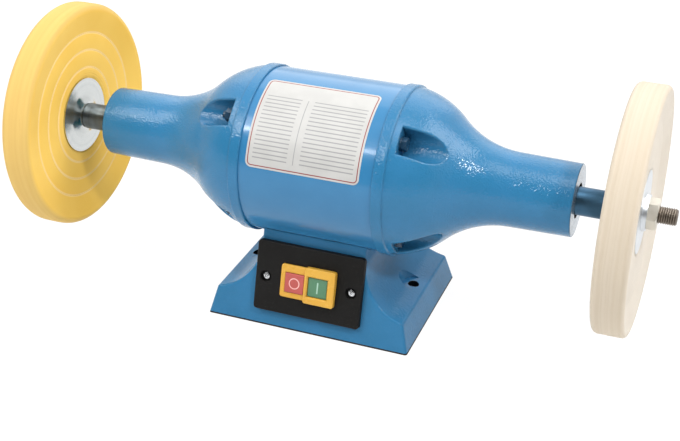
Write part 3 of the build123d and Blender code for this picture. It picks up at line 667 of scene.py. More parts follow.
@dataclass(frozen=True)
class RuledLabel:
    """White vinyl with a thin border line and plain ruled columns, on a UV map of the whole label."""

    name: str
    width: float
    height: float
    corner: float
    border_in: float = 1.9
    border_w: float = 0.8
    divide_at: float = 0.42
    rule_pitch: float = 3.6
    rule_edge: Pair = (0.35, 0.6)
    divider_edge: Pair = (0.2, 0.45)
    margin: float = 5.5
    head: float = 19.0
    foot: float = 7.0

    def _border(self, graph: Graph, across: Socket, up: Socket) -> Socket:
        """Mask of the border line.

        A place lies as far inside a rounded rectangle as the corner's radius less the length of what lies
        past the corner's centre.

        Args:
            graph: The material's graph.
            across: Millimetres from the label's middle, along it.
            up: Millimetres from the label's middle, up it.

        Returns:
            One on the line, nought off it.
        """
        past = []
        for value, size in ((across, self.width), (up, self.height)):
            gone = graph.math("SUBTRACT", graph.math("ABSOLUTE", value), size / 2 - self.corner)
            past.append(graph.math("MAXIMUM", gone, 0.0))
        inset = graph.math("SUBTRACT", self.corner, graph.length(*past))
        off = graph.math("ABSOLUTE", graph.math("SUBTRACT", inset, self.border_in))
        return graph.span(off, self.border_w * 0.35, self.border_w * 0.65, 1.0, 0.0)

    def _rules(self, graph: Graph, across: Socket, up: Socket) -> Socket:
        """Mask of two columns of fine lines and of the line between them, with a plain head and foot.

        Args:
            graph: The material's graph.
            across: Millimetres from the label's middle, along it.
            up: Millimetres from the label's middle, up it.

        Returns:
            One on a line, nought off it.
        """
        divider = graph.math("SUBTRACT", across, (self.divide_at - 0.5) * self.width)
        divider = graph.math("ABSOLUTE", divider)
        edge = graph.math("SUBTRACT", self.width / 2, graph.math("ABSOLUTE", across))
        column = graph.math("GREATER_THAN", graph.math("MINIMUM", divider, edge), self.margin)
        row = graph.math("PINGPONG", up, self.rule_pitch / 2)
        lines = graph.math("MULTIPLY", graph.span(row, *self.rule_edge, 1.0, 0.0), column)
        lines = graph.math("MAXIMUM", lines, graph.span(divider, *self.divider_edge, 1.0, 0.0))
        head = graph.math("LESS_THAN", up, self.height / 2 - self.head)
        foot = graph.math("GREATER_THAN", up, self.foot - self.height / 2)
        return graph.math("MULTIPLY", lines, graph.math("MULTIPLY", head, foot))

    def material(self, effects: Effects) -> bpy.types.Material:
        """Build the label.

        Args:
            effects: The shared node groups.

        Returns:
            The material.
        """
        coat = Coating(self.name, ior=1.45)
        graph = coat.graph
        u, v, _ = graph.parts(graph.add("UVMap").outputs[0])
        across = graph.math("MULTIPLY", graph.math("SUBTRACT", u, 0.5), self.width)
        up = graph.math("MULTIPLY", graph.math("SUBTRACT", v, 0.5), self.height)
        hands = graph.call(effects.handling, place=coat.place, marks=60.0)
        paper = graph.blend(hands["Smudge"], "#BFBEBB", "#C5C4C1")
        ruled = graph.blend(graph.math("MULTIPLY", self._rules(graph, across, up), 0.6), paper, "#74767A")
        colour = graph.blend(self._border(graph, across, up), ruled, "#8E3B3A")
        rough = graph.math("MULTIPLY_ADD", hands["Smudge"], 0.15, 0.38)
        return coat.done(colour, rough, hands["Smudge"], 0.004)


# Meshes


class Shell:
    """Grids of points gathered into one mesh."""

    def __init__(self, name: str) -> None:
        """Start an empty mesh.

        Args:
            name: The piece's name.
        """
        self.name = name
        self.points: list[Array] = []
        self.faces: list[Array] = []
        self.uvs: list[Array] = []
        self.count = 0

    def add(
        self, points: Array, wrap_rows: bool = False, wrap_cols: bool = False, uv: Array | None = None
    ) -> Shell:
        """Add a grid of quads, or a stack of like grids, turned so that closed grids face outwards.

        Each quad joins a point to its neighbours in the next row and column. The sum of corner products over
        the first grid's triangles, six times its volume, says which way the faces point.

        Args:
            points: Rows by columns by three, in millimetres, with the grid's number first in a stack.
            wrap_rows: Whether the last row joins the first.
            wrap_cols: Whether the last column joins the first.
            uv: Rows by columns by two, for all grids of a mesh or for none.

        Returns:
            The shell itself.
        """
        rows, cols = points.shape[-3:-1]
        index = np.arange(rows * cols).reshape(rows, cols)
        index = np.pad(index, ((0, int(wrap_rows)), (0, int(wrap_cols))), mode="wrap")
        corners = (index[:-1, :-1], index[1:, :-1], index[1:, 1:], index[:-1, 1:])
        quads = np.stack(corners, axis=-1).reshape(-1, 4)
        flat = points.reshape(-1, 3)
        first = flat[: rows * cols]
        a, b, c, d = ((first - first.mean(axis=0))[quads[:, k]] for k in range(4))
        if np.sum(a * (np.cross(b, c) + np.cross(c, d))) < 0:
            quads = quads[:, ::-1]
        starts = self.count + np.arange(0, len(flat), rows * cols)
        self.points.append(flat * MM)
        self.faces.append((quads + starts[:, None, None]).reshape(-1, 4))
        if uv is not None:
            self.uvs.append(uv.reshape(-1, 2))
        self.count += len(flat)
        return self

    def build(self, sharp_deg: float = 38.0) -> bpy.types.Object:
        """Make the mesh and its object, with doubled points at poles and seams merged.

        Args:
            sharp_deg: Edges that bend more than this stay sharp.

        Returns:
            The object, at the origin.
        """
        mesh = bpy.data.meshes.new(self.name)
        faces = np.concatenate(self.faces)
        mesh.from_pydata(np.concatenate(self.points).tolist(), [], faces.tolist())
        if self.uvs:
            layer = mesh.uv_layers.new(name="UVMap")
            layer.data.foreach_set("uv", np.concatenate(self.uvs)[faces.ravel()].ravel())
        merged = bmesh.new()
        merged.from_mesh(mesh)
        bmesh.ops.remove_doubles(merged, verts=merged.verts, dist=1e-7)
        merged.to_mesh(mesh)
        merged.free()
        mesh.shade_smooth()
        mesh.set_sharp_from_angle(angle=radians(sharp_deg))
        piece = bpy.data.objects.new(self.name, mesh)
        bpy.context.scene.collection.objects.link(piece)
        return piece


def round_angles(count: int) -> Array:
    """So many angles of a full turn, evenly spaced."""
    return np.linspace(0, 2 * pi, count, endpoint=False)


def turned(along: Array, radius: Array, count: int) -> Array:
    """Carry a profile round the spindle.

    A point at angle a is (along, radius cos a, axis height + radius sin a).

    Args:
        along: Places along the spindle, one for each profile point.
        radius: Radii, one for each profile point or a row of them for each angle.
        count: Number of angles in the round.

    Returns:
        Angles by profile points by three.
    """
    angle = round_angles(count)[:, None]
    along, radius = np.broadcast_arrays(along, radius + 0 * angle)
    return np.stack([along, radius * np.cos(angle), AXIS_H + radius * np.sin(angle)], axis=-1)


@dataclass(frozen=True)
class Panel:
    """The leaning plate on the foot's front, with places across it, up it and out from its front."""

    middle: Point = (0.0, -55.966, 43.792)
    lean: float = 15.0
    plate_t: float = 5.0

    def world(self, across: Array, up: Array, out: Array) -> Array:
        """Turn places on the plate into the machine's frame.

        Args:
            across: Millimetres to the right of the plate's middle.
            up: Millimetres up the plate from its middle.
            out: Millimetres out from the plate's front.

        Returns:
            Points with three coordinates last.
        """
        lean = radians(self.lean)
        across, up, out = np.broadcast_arrays(across, up, out + self.plate_t)
        y = up * sin(lean) - out * cos(lean)
        z = up * cos(lean) + out * sin(lean)
        return np.stack([across, y, z], axis=-1) + np.array(self.middle)


@dataclass(frozen=True)
class Stations:
    """Places along the spindle, read from the CAD nodes' boxes."""

    shoulder: float
    nut: float
    tip: float
    nose: float
    wheel: float

    @classmethod
    def read(cls) -> Stations:
        """Read the right-hand places, which the left ones mirror.

        Returns:
            The places, in millimetres.
        """
        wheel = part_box("right_wheel")
        return cls(
            shoulder=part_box("right_inner_flange")[0].x / MM,
            nut=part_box("right_spindle_nut")[0].x / MM,
            tip=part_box("spindle_shaft")[1].x / MM,
            nose=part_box("right_end_bell")[1].x / MM,
            wheel=(wheel[0].x + wheel[1].x) / 2 / MM,
        )


class Workshop:
    """The loaded frame, and the ways to dress its nodes and add pieces to it."""

    def __init__(self, nodes: dict[str, bpy.types.Object]) -> None:
        """Keep the CAD nodes by name, and build the shared effects."""
        self.nodes = nodes
        self.effects = Effects()

    def dress(self, finish: Finish, *names: str) -> None:
        """Give CAD nodes a finish of their own.

        Args:
            finish: The finish.
            names: The nodes' names.
        """
        material = finish.material(self.effects)
        for name in names:
            for slot in self.nodes[name].material_slots:
                slot.material = material
            log.info("dressed %s in %s", name, finish.name)

    def add(
        self, piece: bpy.types.Object, finish: Finish | Cloth | RuledLabel, body: str,
        slot: str | None = None, stands_for: str | None = None,
    ) -> bpy.types.Object:
        """Finish a new piece and let it ride on a body.

        Args:
            piece: The new object.
            finish: Its finish.
            body: The CAD body that it moves with.
            slot: The record's material slot, if any; not used.
            stands_for: The CAD node that it is shown instead of, if any.

        Returns:
            The same object.
        """
        piece.data.materials.append(finish.material(self.effects))
        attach(piece, body)
        if stands_for:
            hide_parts(stands_for)
        log.info("added %s to %s", piece.name, body)
        return piece


# Sub-assemblies


@dataclass
class Foot:
    """The scooped foot, its cover and what is inside it."""

    sole_z: float = 1.1
    hole_x: float = 73.7

    def build(self, shop: Workshop) -> None:
        """Dress the foot's nodes.

        Args:
            shop: The workshop that takes the pieces.
        """
        cast = FootEnamel(
            "foot_enamel", "#3679A5", "#32749D", 0.15, 480.0, 0.16, 0.7, 0.22,
            sole_z=self.sole_z, hole_x=self.hole_x,
        )
        shop.dress(cast, "base")
        shop.dress(Moulding("cover_black", "#3A3836", "#2F2D2C", 0.5, 1500.0, 0.03), "base_cover_plate")
        gland = Moulding("gland_black", "#1E1E1F", "#171718", 0.42, 1100.0, 0.02)
        shop.dress(gland, "cable_gland", "cable_gland_nut")
        zinc = Metal("fastener_zinc", "#D3D6DA", "#B3B8BE", 0.28, 2400.0, 0.01)
        shop.dress(zinc, "base_cover_screws", "saddle_studs", "saddle_washers", "saddle_nuts")
        shop.dress(Metal("can_aluminium", "#C9CCD0", "#B2B6BB", 0.3, 900.0, 0.01), "capacitor")
        shop.dress(Metal("strap_zinc", "#CDD0D4", "#AEB3B9", 0.32, 1500.0, 0.01), "capacitor_strap")
        screw = Metal("strap_screw_zinc", "#CDD0D4", "#AEB3B9", 0.3, 2400.0, 0.01)
        shop.dress(screw, "capacitor_strap_screws")
        shop.dress(Moulding("terminal_grey", "#B9B7B0", "#A9A79F", 0.5, 900.0, 0.02), "terminal_block")


@dataclass
class Motor:
    """The barrel with its label, the end bells and everything inside them."""

    nose_x: float
    bore_r: float = 14.3
    pocket_x: float = 71.0
    barrel_r: float = 70.0
    label_x: Pair = (-50.9, 46.5)
    label_deg: Pair = (12.4, 79.3)
    label_corner: float = 5.0
    label_t: float = 0.16
    label_lift: float = 0.02
    label_grid: tuple[int, int] = (61, 41)

    def label(self, shop: Workshop) -> None:
        """Lay the label round the barrel.

        A place s up the label from its middle sits at the angle s over the label's radius. Each row's half
        width is the label's own, less what its round corners take: the radius less the root of the radius
        squared less the square of the row's reach past the corner's centre. The first and the last row bring
        the front down to the back, which closes the edges.

        Args:
            shop: The workshop that takes the label.
        """
        rows, cols = self.label_grid
        width = self.label_x[1] - self.label_x[0]
        radius = self.barrel_r + self.label_lift + self.label_t
        height = radians(self.label_deg[1] - self.label_deg[0]) * radius
        up = np.pad(-height / 2 * np.cos(np.linspace(0, pi, rows)), 1, mode="edge")[:, None]
        past = np.maximum(np.abs(up) - (height / 2 - self.label_corner), 0)
        cut = self.label_corner - np.sqrt(np.maximum(self.label_corner**2 - past**2, 0))
        across = (width / 2 - cut) * np.linspace(-1, 1, cols)[None]
        up = up + 0 * across
        angle = radians(sum(self.label_deg) / 2) + up / radius
        front = np.full_like(up, radius)
        front[[0, -1]] -= self.label_t
        x = sum(self.label_x) / 2 + across
        skins = [
            np.stack([x, -r * np.cos(angle), AXIS_H + r * np.sin(angle)], axis=-1)
            for r in (front, radius - self.label_t)
        ]
        uv = np.stack([across / width + 0.5, up / height + 0.5], axis=-1)
        sheet = np.concatenate([skins[0], skins[1][:, ::-1]], axis=1)
        uv = np.concatenate([uv, uv[:, ::-1]], axis=1)
        piece = Shell("barrel_label").add(sheet, wrap_cols=True, uv=uv).build()
        shop.add(piece, RuledLabel("label_vinyl", width, height, self.label_corner), "frame")

    def build(self, shop: Workshop) -> None:
        """Dress the motor's nodes and add the label.

        Args:
            shop: The workshop that takes the pieces.
        """
        cast = BellEnamel(
            "bell_enamel", "#357AA7", "#2F759F", 0.07, 720.0, 0.26, 1.4, 0.45,
            nose_x=self.nose_x, bore_r=self.bore_r, pocket_x=self.pocket_x,
        )
        shop.dress(cast, *(end.node("end_bell") for end in End))
        tube = Enamel("barrel_enamel", "#377EAD", "#3379A8", 0.18, 420.0, 0.015, 0.3, gloss=0.3)
        shop.dress(tube, "motor_barrel")
        # Partly painted shade: the tie bolts, nuts and washers are blue paint, darkened to deep navy for the
        # shade of the pockets.
        shaded_bolts = Moulding("bolt_blue_painted_shade", "#21445E", "#1A384F", 0.2, 1400.0, 0.01, 0.4)
        shop.dress(shaded_bolts, "tie_bolts", "tie_bolt_nuts", "tie_bolt_washers")
        steel = Metal("bearing_steel", "#C4C6C9", "#A9ACB0", 0.18, 1600.0, 0.006)
        kinds = ("outer_ring", "inner_ring", "shields", "balls", "cage")
        rings = [end.node(f"bearing_{kind}") for end in End for kind in kinds]
        shop.dress(steel, *rings, "wave_washer", "shim_washer")
        core = Metal("core_steel", "#7C7F84", "#5D6065", 0.4, 5200.0, 0.05)
        shop.dress(core, "stator_core", "rotor_core")
        shop.dress(Metal("winding_copper", "#B4622F", "#8A4420", 0.35, 1400.0, 0.2), "stator_windings")
        shop.dress(Metal("cage_aluminium", "#B9BCC0", "#9DA1A6", 0.42, 700.0, 0.04), "rotor_cage")
        self.label(shop)


@dataclass
class Spindle:
    """The through shaft with a thread at each end, its flanges and its nuts."""

    at: Stations
    journal_r: float = 11.5
    arbor_r: float = 7.0
    inner_r: float = 15.0
    inner_end: float = 20.0
    chamfer: float = 1.5
    pitch: float = 1.75
    pitch_rows: int = 14
    thread_depth: float = 0.9
    thread_flat: float = 0.12
    runout: float = 3.0
    sides: int = 72
    flange_bore_r: float = 7.1
    flange_r: float = 33.4
    flange_t: float = 5.0
    flange_sides: int = 120
    hub_r: float = 12.6
    hub_foot_r: float = 22.0
    hub_h: float = 3.0
    dish: float = 0.4

    def shaft(self) -> bpy.types.Object:
        """Turn the shaft with its threads.

        In the threaded stretch the radius is the arbor's less a depth that falls and rises evenly once a
        pitch, with flats at crest and root, along a helix. The left end mirrors the right one, so its thread
        is left-handed.

        Returns:
            The shaft.
        """
        tip, shoulder, step = self.at.tip, self.at.shoulder, self.at.nose - self.inner_end
        start = self.at.nut - self.runout
        thread_x = np.arange(start, tip, self.pitch / self.pitch_rows)
        body_r = [self.inner_r] * 2 + [self.journal_r] * 2 + [self.journal_r - self.chamfer]
        body_x = [0.0, step, step, shoulder - self.chamfer, shoulder, shoulder]
        x = np.concatenate([body_x, thread_x, [tip] * 2])
        r = np.concatenate([body_r, np.full(len(thread_x) + 2, self.arbor_r), [0.0]])
        taper = np.minimum(r, self.arbor_r - self.chamfer + tip - x)
        r = np.where((x > self.at.nut) & (r > 0), taper, r)
        angle = round_angles(self.sides)[:, None]
        ridge = np.abs(2 * ((x / self.pitch + angle / (2 * pi)) % 1) - 1)
        flank = np.clip((ridge - self.thread_flat) / (1 - 2 * self.thread_flat), 0, 1)
        fade = np.clip((x - start) / self.runout, 0, 1)
        cut = np.minimum(r, self.arbor_r - self.thread_depth * flank * fade)
        radius = np.where(x > start, cut, r)
        both_x = np.concatenate([-x[::-1], x[1:]])
        both_r = np.concatenate([radius[:, ::-1], radius[:, 1:]], axis=1)
        points = turned(both_x, both_r, self.sides)
        return Shell("threaded_shaft").add(points, wrap_rows=True).build(sharp_deg=50.0)

    def inner_flange(self, end: End) -> bpy.types.Object:
        """Turn an inner flange, a thin dished disc whose hub is a low cone.

        The cone's height falls from the hub's end to its foot as the power 1.6 of the way left to the foot,
        so it runs out smoothly into the disc.

        Args:
            end: The end of the machine that the flange is on.

        Returns:
            The flange, a closed ring.
        """
        left = np.linspace(1, 0, 16)
        cone_r = self.hub_foot_r - (self.hub_foot_r - self.hub_r) * left
        cone_x = self.hub_h * (1 - left**1.6)
        x = np.concatenate([[0.0], cone_x, [self.hub_h + self.dish, self.flange_t, self.flange_t]])
        disc_r = [self.flange_r, self.flange_r, self.flange_bore_r]
        r = np.concatenate([[self.flange_bore_r], cone_r, disc_r])
        points = turned(end.value * (self.at.shoulder + x), r, self.flange_sides)
        return Shell(end.node("flange_cone")).add(points, wrap_rows=True, wrap_cols=True).build()

    def build(self, shop: Workshop) -> None:
        """Dress the flanges and nuts, and stand a threaded shaft and coned flanges in for the plain ones.

        Args:
            shop: The workshop that takes the pieces.
        """
        inner = Metal("inner_flange_zinc", "#D4D6D5", "#C6CAC9", 0.14, 2600.0, 0.006, 0.0)
        for end in End:
            shop.add(self.inner_flange(end), inner, "spindle", "zinc_steel", end.node("inner_flange"))
        outer = Metal("outer_flange_zinc", "#DEE1E4", "#CFD4D9", 0.28, 2600.0, 0.006)
        shop.dress(outer, *(end.node("outer_flange") for end in End))
        nut = Metal("nut_zinc", "#E7E3D9", "#D6D2C7", 0.42, 1500.0, 0.012)
        shop.dress(nut, *(end.node("spindle_nut") for end in End))
        dark = ShaftSteel(
            "shaft_steel", "#7E8484", "#656A6B", 0.36, 2200.0, 0.012, 0.0, arbor_r=self.arbor_r
        )
        shop.add(self.shaft(), dark, "spindle", "dark_steel", "spindle_shaft")


@dataclass
class Wheel:
    """One wheel: cloth plies, thick at the rim and drawn thin where rings of stitches hold them."""

    end: End
    middle: float
    cloth: Cloth
    slot: str
    plies: int
    ply_round: float
    ply_spread: float
    edge_r: float
    sewn: bool
    groove: float
    ridge: float
    rim_r: float = 100.0
    rim_half: float = 13.0
    bore_r: float = 7.1
    hub_half: float = 6.65
    hub_r: float = 34.2
    hub_step: float = 1.2
    face_half: float = 8.15
    face_rows: tuple[int, ...] = (32, 56, 10)
    edge_rows: int = 10
    rings: tuple[float, ...] = STITCH_RINGS
    past_ring: float = 2.0
    bulge: float = 0.35
    groove_w: float = 0.7
    ridge_pitch: float = 1.9
    ridge_fade: Pair = (2.0, 4.0)
    ply_rows: int = 7
    ply_shrink: float = 0.15
    waver: float = 0.1
    slack: float = 0.2
    sides: int = 240
    seed: int = 5
    stitch: float = 3.1
    stitch_share: float = 0.44
    stitch_lift: float = 0.12
    stitch_flat: float = 0.8
    stitch_grid: tuple[int, int] = (6, 6)
    thread_r: float = 0.75

    @property
    def name(self) -> str:
        """The wheel's node name."""
        return self.end.node("wheel")

    def half_thickness(self, radius: Array) -> Array:
        """Half the wheel's thickness at a radius on its face.

        It is even from the hub to the last ring and flares straight from there to the rim. It stands out
        between rings as a half sine, dips at each ring as a bell curve, and carries fine ridges inside the
        first ring.

        Args:
            radius: Radii in millimetres.

        Returns:
            Half thicknesses in millimetres.
        """
        first, last = self.rings[0], self.rings[-1]
        flare = np.clip((radius - last) / (self.rim_r - self.edge_r - last), 0, 1)
        half = self.face_half + (self.rim_half - self.face_half) * flare
        marks = [self.hub_r + 2 * self.hub_step, *self.rings]
        half = half + self.bulge * np.abs(np.sin(pi * np.interp(radius, marks, np.arange(len(marks)))))
        dips = np.exp(-(((radius[:, None] - np.array(self.rings)) / self.groove_w) ** 2)).sum(axis=1)
        inner = np.clip((radius - self.hub_r) / self.ridge_fade[0], 0, 1)
        inner = inner * np.clip((first - radius) / self.ridge_fade[1], 0, 1)
        return half - self.groove * dips + self.ridge * inner * np.sin(2 * pi * radius / self.ridge_pitch)

    def outline(self) -> tuple[Array, Array, Array]:
        """Half outline of the wheel from its bore to the rim's corner.

        Returns:
            Distances from the wheel's middle plane, radii, and how far each point moves with its ply.
        """
        corner_r = self.rim_r - self.edge_r
        stops = (
            self.hub_r + self.hub_step,
            self.rings[0] + self.past_ring,
            self.rings[-1] + self.past_ring,
            corner_r,
        )
        runs = zip(stops, stops[1:], self.face_rows)
        face_r = np.concatenate([np.linspace(a, b, count, endpoint=False) for a, b, count in runs])
        bend = np.linspace(0, pi / 2, self.edge_rows)
        edge_half = self.rim_half - self.edge_r * (1 - np.cos(bend))
        half = np.concatenate([[self.hub_half] * 2, self.half_thickness(face_r), edge_half])
        radius = np.concatenate([[self.bore_r, self.hub_r], face_r, corner_r + self.edge_r * np.sin(bend)])
        return half, radius, np.clip((radius - corner_r) / self.edge_r, 0, 1)

    def body(self) -> bpy.types.Object:
        """Stack the plies into one closed body.

        The rim is cut into plies. Within a ply the radius falls off as the sixth power of the distance from
        its middle, and each ply's own radius wavers slowly round the wheel by a sum of two sines.

        Returns:
            The wheel.
        """
        half, radius, loose = self.outline()
        flat = self.rim_half - self.edge_r
        rim_x = np.linspace(flat, -flat, self.plies * self.ply_rows + 1)[1:-1]
        x = np.concatenate([half, rim_x, -half[::-1]])
        r = np.concatenate([radius, np.full(len(rim_x), self.rim_r), radius[::-1]])
        move = np.concatenate([loose, np.ones(len(rim_x)), loose[::-1]])
        place = (x / (2 * self.rim_half) + 0.5) * self.plies
        within = np.abs(2 * (place % 1) - 1)
        ply = np.clip(place.astype(int), 0, self.plies - 1)
        rng = np.random.default_rng(self.seed)
        own = rng.uniform(0, self.ply_shrink, self.plies)[ply]
        turns = rng.integers(2, 6, (2, self.plies))[:, None, ply]
        start = rng.uniform(0, 2 * pi, (2, self.plies))[:, None, ply]
        waver = self.waver * np.sin(turns * round_angles(self.sides)[:, None] + start).sum(axis=0)
        drop = move * (self.ply_round * within**6 + self.ply_spread * (own - waver) + self.slack)
        points = turned(self.end.value * self.middle + x, r - drop, self.sides)
        shell = Shell(f"{self.name}_cloth").add(points, wrap_rows=True, wrap_cols=True)
        return shell.build(sharp_deg=60.0)

    def stitches(self) -> bpy.types.Object:
        """Lay a row of stitches in each ring's groove, on both faces.

        A stitch is a capsule: its cross section is a circle whose radius falls towards both ends as the root
        of one less the sixth power of the place along it, and a small flat closes each end.

        Returns:
            All stitches in one mesh.
        """
        shell = Shell(f"{self.name}_stitches")
        run = np.pad(np.linspace(-1, 1, self.stitch_grid[0]), 1, mode="edge")[:, None]
        spin = round_angles(self.stitch_grid[1])[None]
        thick = self.thread_r * np.sqrt(np.maximum(1 - np.abs(run) ** 6, 0.02))
        thick[[0, -1]] = 0
        for ring in self.rings:
            angle = round_angles(round(2 * pi * ring / self.stitch))[:, None, None]
            lift = self.half_thickness(np.array([ring]))[0] + self.stitch_lift
            swing = angle + run * self.stitch * self.stitch_share / ring
            far = ring + thick * np.cos(spin) + 0 * swing
            for face in (-1, 1):
                out = lift + thick * np.sin(face * spin) * self.stitch_flat + 0 * swing
                x = self.end.value * self.middle + face * out
                points = np.stack([x, far * np.cos(swing), AXIS_H + far * np.sin(swing)], axis=-1)
                shell.add(points, wrap_cols=True)
        return shell.build(sharp_deg=80.0)

    def build(self, shop: Workshop) -> None:
        """Stand the cloth wheel in for the CAD one, and sew it.

        Args:
            shop: The workshop that takes the pieces.
        """
        shop.add(self.body(), self.cloth, "spindle", self.slot, self.name)
        if self.sewn:
            tones = ("#F9D894", "#F4CF86")
            thread = Cloth(f"{self.name}_thread", *tones, *tones, 98.0, 4200.0, 0.05)
            shop.add(self.stitches(), thread, "spindle", self.slot)


@dataclass
class Switch:
    """The push-button switch: its plate, screws, bezel, buttons, their signs and their return springs."""

    panel: Panel = Panel()
    up: float = -1.0
    stop_x: float = -10.95
    start_x: float = 9.85
    stop_proud: float = 3.6
    start_proud: float = 3.2
    ring_r: float = 4.4
    ring_w: float = 0.9
    bar_half: float = 5.0
    bar_w: float = 1.2
    bar_shares: tuple[float, ...] = (0.0, 0.7, 0.95, 1.0, 1.0, 0.0)
    bar_heights: tuple[float, ...] = (1.0, 1.0, 0.8, 0.3, -0.5, -0.5)
    sign_t: float = 0.12
    screw_x: float = 38.5
    screw_up: float = -0.5
    screw_seat: float = -3.2
    screw_r: float = 2.8
    screw_t: float = 2.0
    screw_dome: float = 0.5
    screw_edge: float = 0.6
    screw_twists: Pair = (0.5, 0.2)
    shank_r: float = 1.75
    shank_len: float = 9.0
    cross_half: float = 1.5
    cross_w: float = 0.42
    cross_deep: float = 1.0
    cross_soft: float = 0.06
    spring_foot: float = -12.45
    spring_len: float = 6.9
    spring_r: float = 4.0
    spring_wire_r: float = 0.45
    spring_turns: int = 4
    spring_keep: float = 0.62

    def stop_ring(self) -> bpy.types.Object:
        """Carry a flat band round a circle, for the ring on the stop button.

        The band's section has rounded corners: its two coordinates are the square roots of a cosine and a
        sine, with their signs kept.

        Returns:
            The ring.
        """
        spin = round_angles(64)[:, None]
        turn = round_angles(12)[None]
        wide, thick = (np.sign(f(turn)) * np.abs(f(turn)) ** 0.5 for f in (np.cos, np.sin))
        radius = self.ring_r + self.ring_w / 2 * wide
        across = self.stop_x + radius * np.cos(spin)
        up = self.up + radius * np.sin(spin)
        points = self.panel.world(across, up, self.stop_proud + self.sign_t * thick)
        return Shell("stop_sign").add(points, wrap_rows=True, wrap_cols=True).build()

    def start_bar(self) -> bpy.types.Object:
        """Raise a low dome on a straight outline with rounded ends, for the bar on the start button.

        The outline is a circle whose upper and lower halves are moved apart by the hyperbolic tangent of six
        times the sine, and it shrinks to a point at the top and at the bottom.

        Returns:
            The bar.
        """
        ring = round_angles(48)[:, None]
        share = np.array(self.bar_shares)[None]
        out = self.start_proud + self.sign_t * np.array(self.bar_heights)[None]
        round_r = self.bar_w / 2
        across = self.start_x + round_r * np.cos(ring) * share
        straight = (self.bar_half - round_r) * np.tanh(6 * np.sin(ring))
        up = self.up + (round_r * np.sin(ring) + straight) * share
        return Shell("start_sign").add(self.panel.world(across, up, out), wrap_rows=True).build()

    def screws(self) -> bpy.types.Object:
        """Two domed heads with a cross recess, on plain shanks.

        From the head's middle out, the dome falls as the square of the radius. The cross is a pit where
        either coordinate is within half a slot's width and the radius within the slot's length, with soft
        walls.

        Returns:
            Both screws in one mesh.
        """
        shell = Shell("plate_screws")
        ring = round_angles(72)[:, None]
        top = np.linspace(0, self.screw_r, 30)
        sides = [self.screw_r, self.screw_r, self.shank_r, self.shank_r, 0.0]
        radius = np.concatenate([top, sides])[None]
        dome = self.screw_t - self.screw_dome * (top / self.screw_r) ** 2
        height = np.concatenate([dome, [self.screw_edge, 0.0, 0.0, -self.shank_len, -self.shank_len]])[None]
        across, up = radius * np.cos(ring), radius * np.sin(ring)
        slot = np.minimum(np.abs(across), np.abs(up)) - self.cross_w
        pit = 1 / (1 + np.exp(np.maximum(slot, radius - self.cross_half) / self.cross_soft))
        on_top = np.arange(radius.size) < len(top)
        out = self.screw_seat + height - self.cross_deep * pit * on_top
        for place, twist in zip((-self.screw_x, self.screw_x), self.screw_twists):
            x = place + across * cos(twist) - up * sin(twist)
            y = self.screw_up + across * sin(twist) + up * cos(twist)
            shell.add(self.panel.world(x, y, out), wrap_rows=True)
        return shell.build(sharp_deg=50.0)

    def spring(self, name: str, across: float) -> bpy.types.Object:
        """Wind a return spring.

        The wire's middle runs round a circle while it climbs evenly. Its round section lies in the plane of
        the radius and of the direction square to both radius and wire, and shrinks to a point at both ends.

        Args:
            name: The CAD node that the spring stands for.
            across: The button's place across the plate.

        Returns:
            The spring, a closed tube.
        """
        run = np.pad(np.linspace(0, 1, 24 * self.spring_turns + 1), 1, mode="edge")[:, None]
        thick = np.full_like(run, self.spring_wire_r)
        thick[[0, -1]] = 0
        turn = 2 * pi * self.spring_turns * run
        spin = round_angles(12)[None]
        climb = np.arctan2(self.spring_len, 2 * pi * self.spring_turns * self.spring_r)
        far = self.spring_r + thick * np.cos(spin)
        back = thick * np.sin(spin) * sin(climb)
        x = across + far * np.cos(turn) + back * np.sin(turn)
        up = self.up + far * np.sin(turn) - back * np.cos(turn)
        out = self.spring_foot + self.spring_len * run + thick * np.sin(spin) * cos(climb)
        points = self.panel.world(x, up, out - self.panel.plate_t)
        return Shell(f"{name}_coil").add(points, wrap_cols=True).build(sharp_deg=60.0)

    def add_springs(self, shop: Workshop) -> None:
        """Set a spring behind each button.

        Args:
            shop: The workshop that takes the pieces.
        """
        steel = Metal("spring_steel", "#B9BCC0", "#9A9DA1", 0.25, 1500.0, 0.005, 0.0)
        seat = self.spring_foot - self.spring_wire_r - self.panel.plate_t
        for button, across in (("stop", self.stop_x), ("start", self.start_x)):
            node = f"{button}_spring"
            coil = shop.add(self.spring(node, across), steel, "frame", "bearing_steel", node)
            foot = self.panel.world(across, self.up, seat) * MM
            top = self.panel.world(across, self.up, seat + 1.0) * MM
            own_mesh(coil)

    def build(self, shop: Workshop) -> None:
        """Dress the switch's nodes, and add its signs, screws and springs.

        Args:
            shop: The workshop that takes the pieces.
        """
        plate = Moulding("plate_black", "#141312", "#100F0E", 0.5, 1700.0, 0.02, 0.6, 0.25)
        shop.dress(plate, "switch_plate")
        shop.dress(Moulding("bezel_yellow", "#E2AE43", "#DBA439", 0.22, 900.0, 0.012, 1.1), "switch_bezel")
        shop.dress(Moulding("button_red", "#C25E57", "#BA5650", 0.34, 900.0, 0.012), "stop_button")
        shop.dress(Moulding("button_green", "#5A8869", "#528061", 0.34, 900.0, 0.012), "start_button")
        shop.dress(Moulding("switch_black", "#232324", "#1B1B1C", 0.5, 900.0, 0.02), "switch_body")
        shop.add(self.stop_ring(), Print("stop_ink", "#F4C3BD", "#EEB9B3"), "stop_button")
        shop.add(self.start_bar(), Print("start_ink", "#AED2BE", "#A5CAB6"), "start_button")
        zinc = Metal("screw_zinc", "#E4E5E6", "#C9CBCE", 0.2, 2400.0, 0.01, 0.0)
        shop.add(self.screws(), zinc, "frame", "zinc_steel", "switch_plate_screws")
        self.add_springs(shop)


# The set


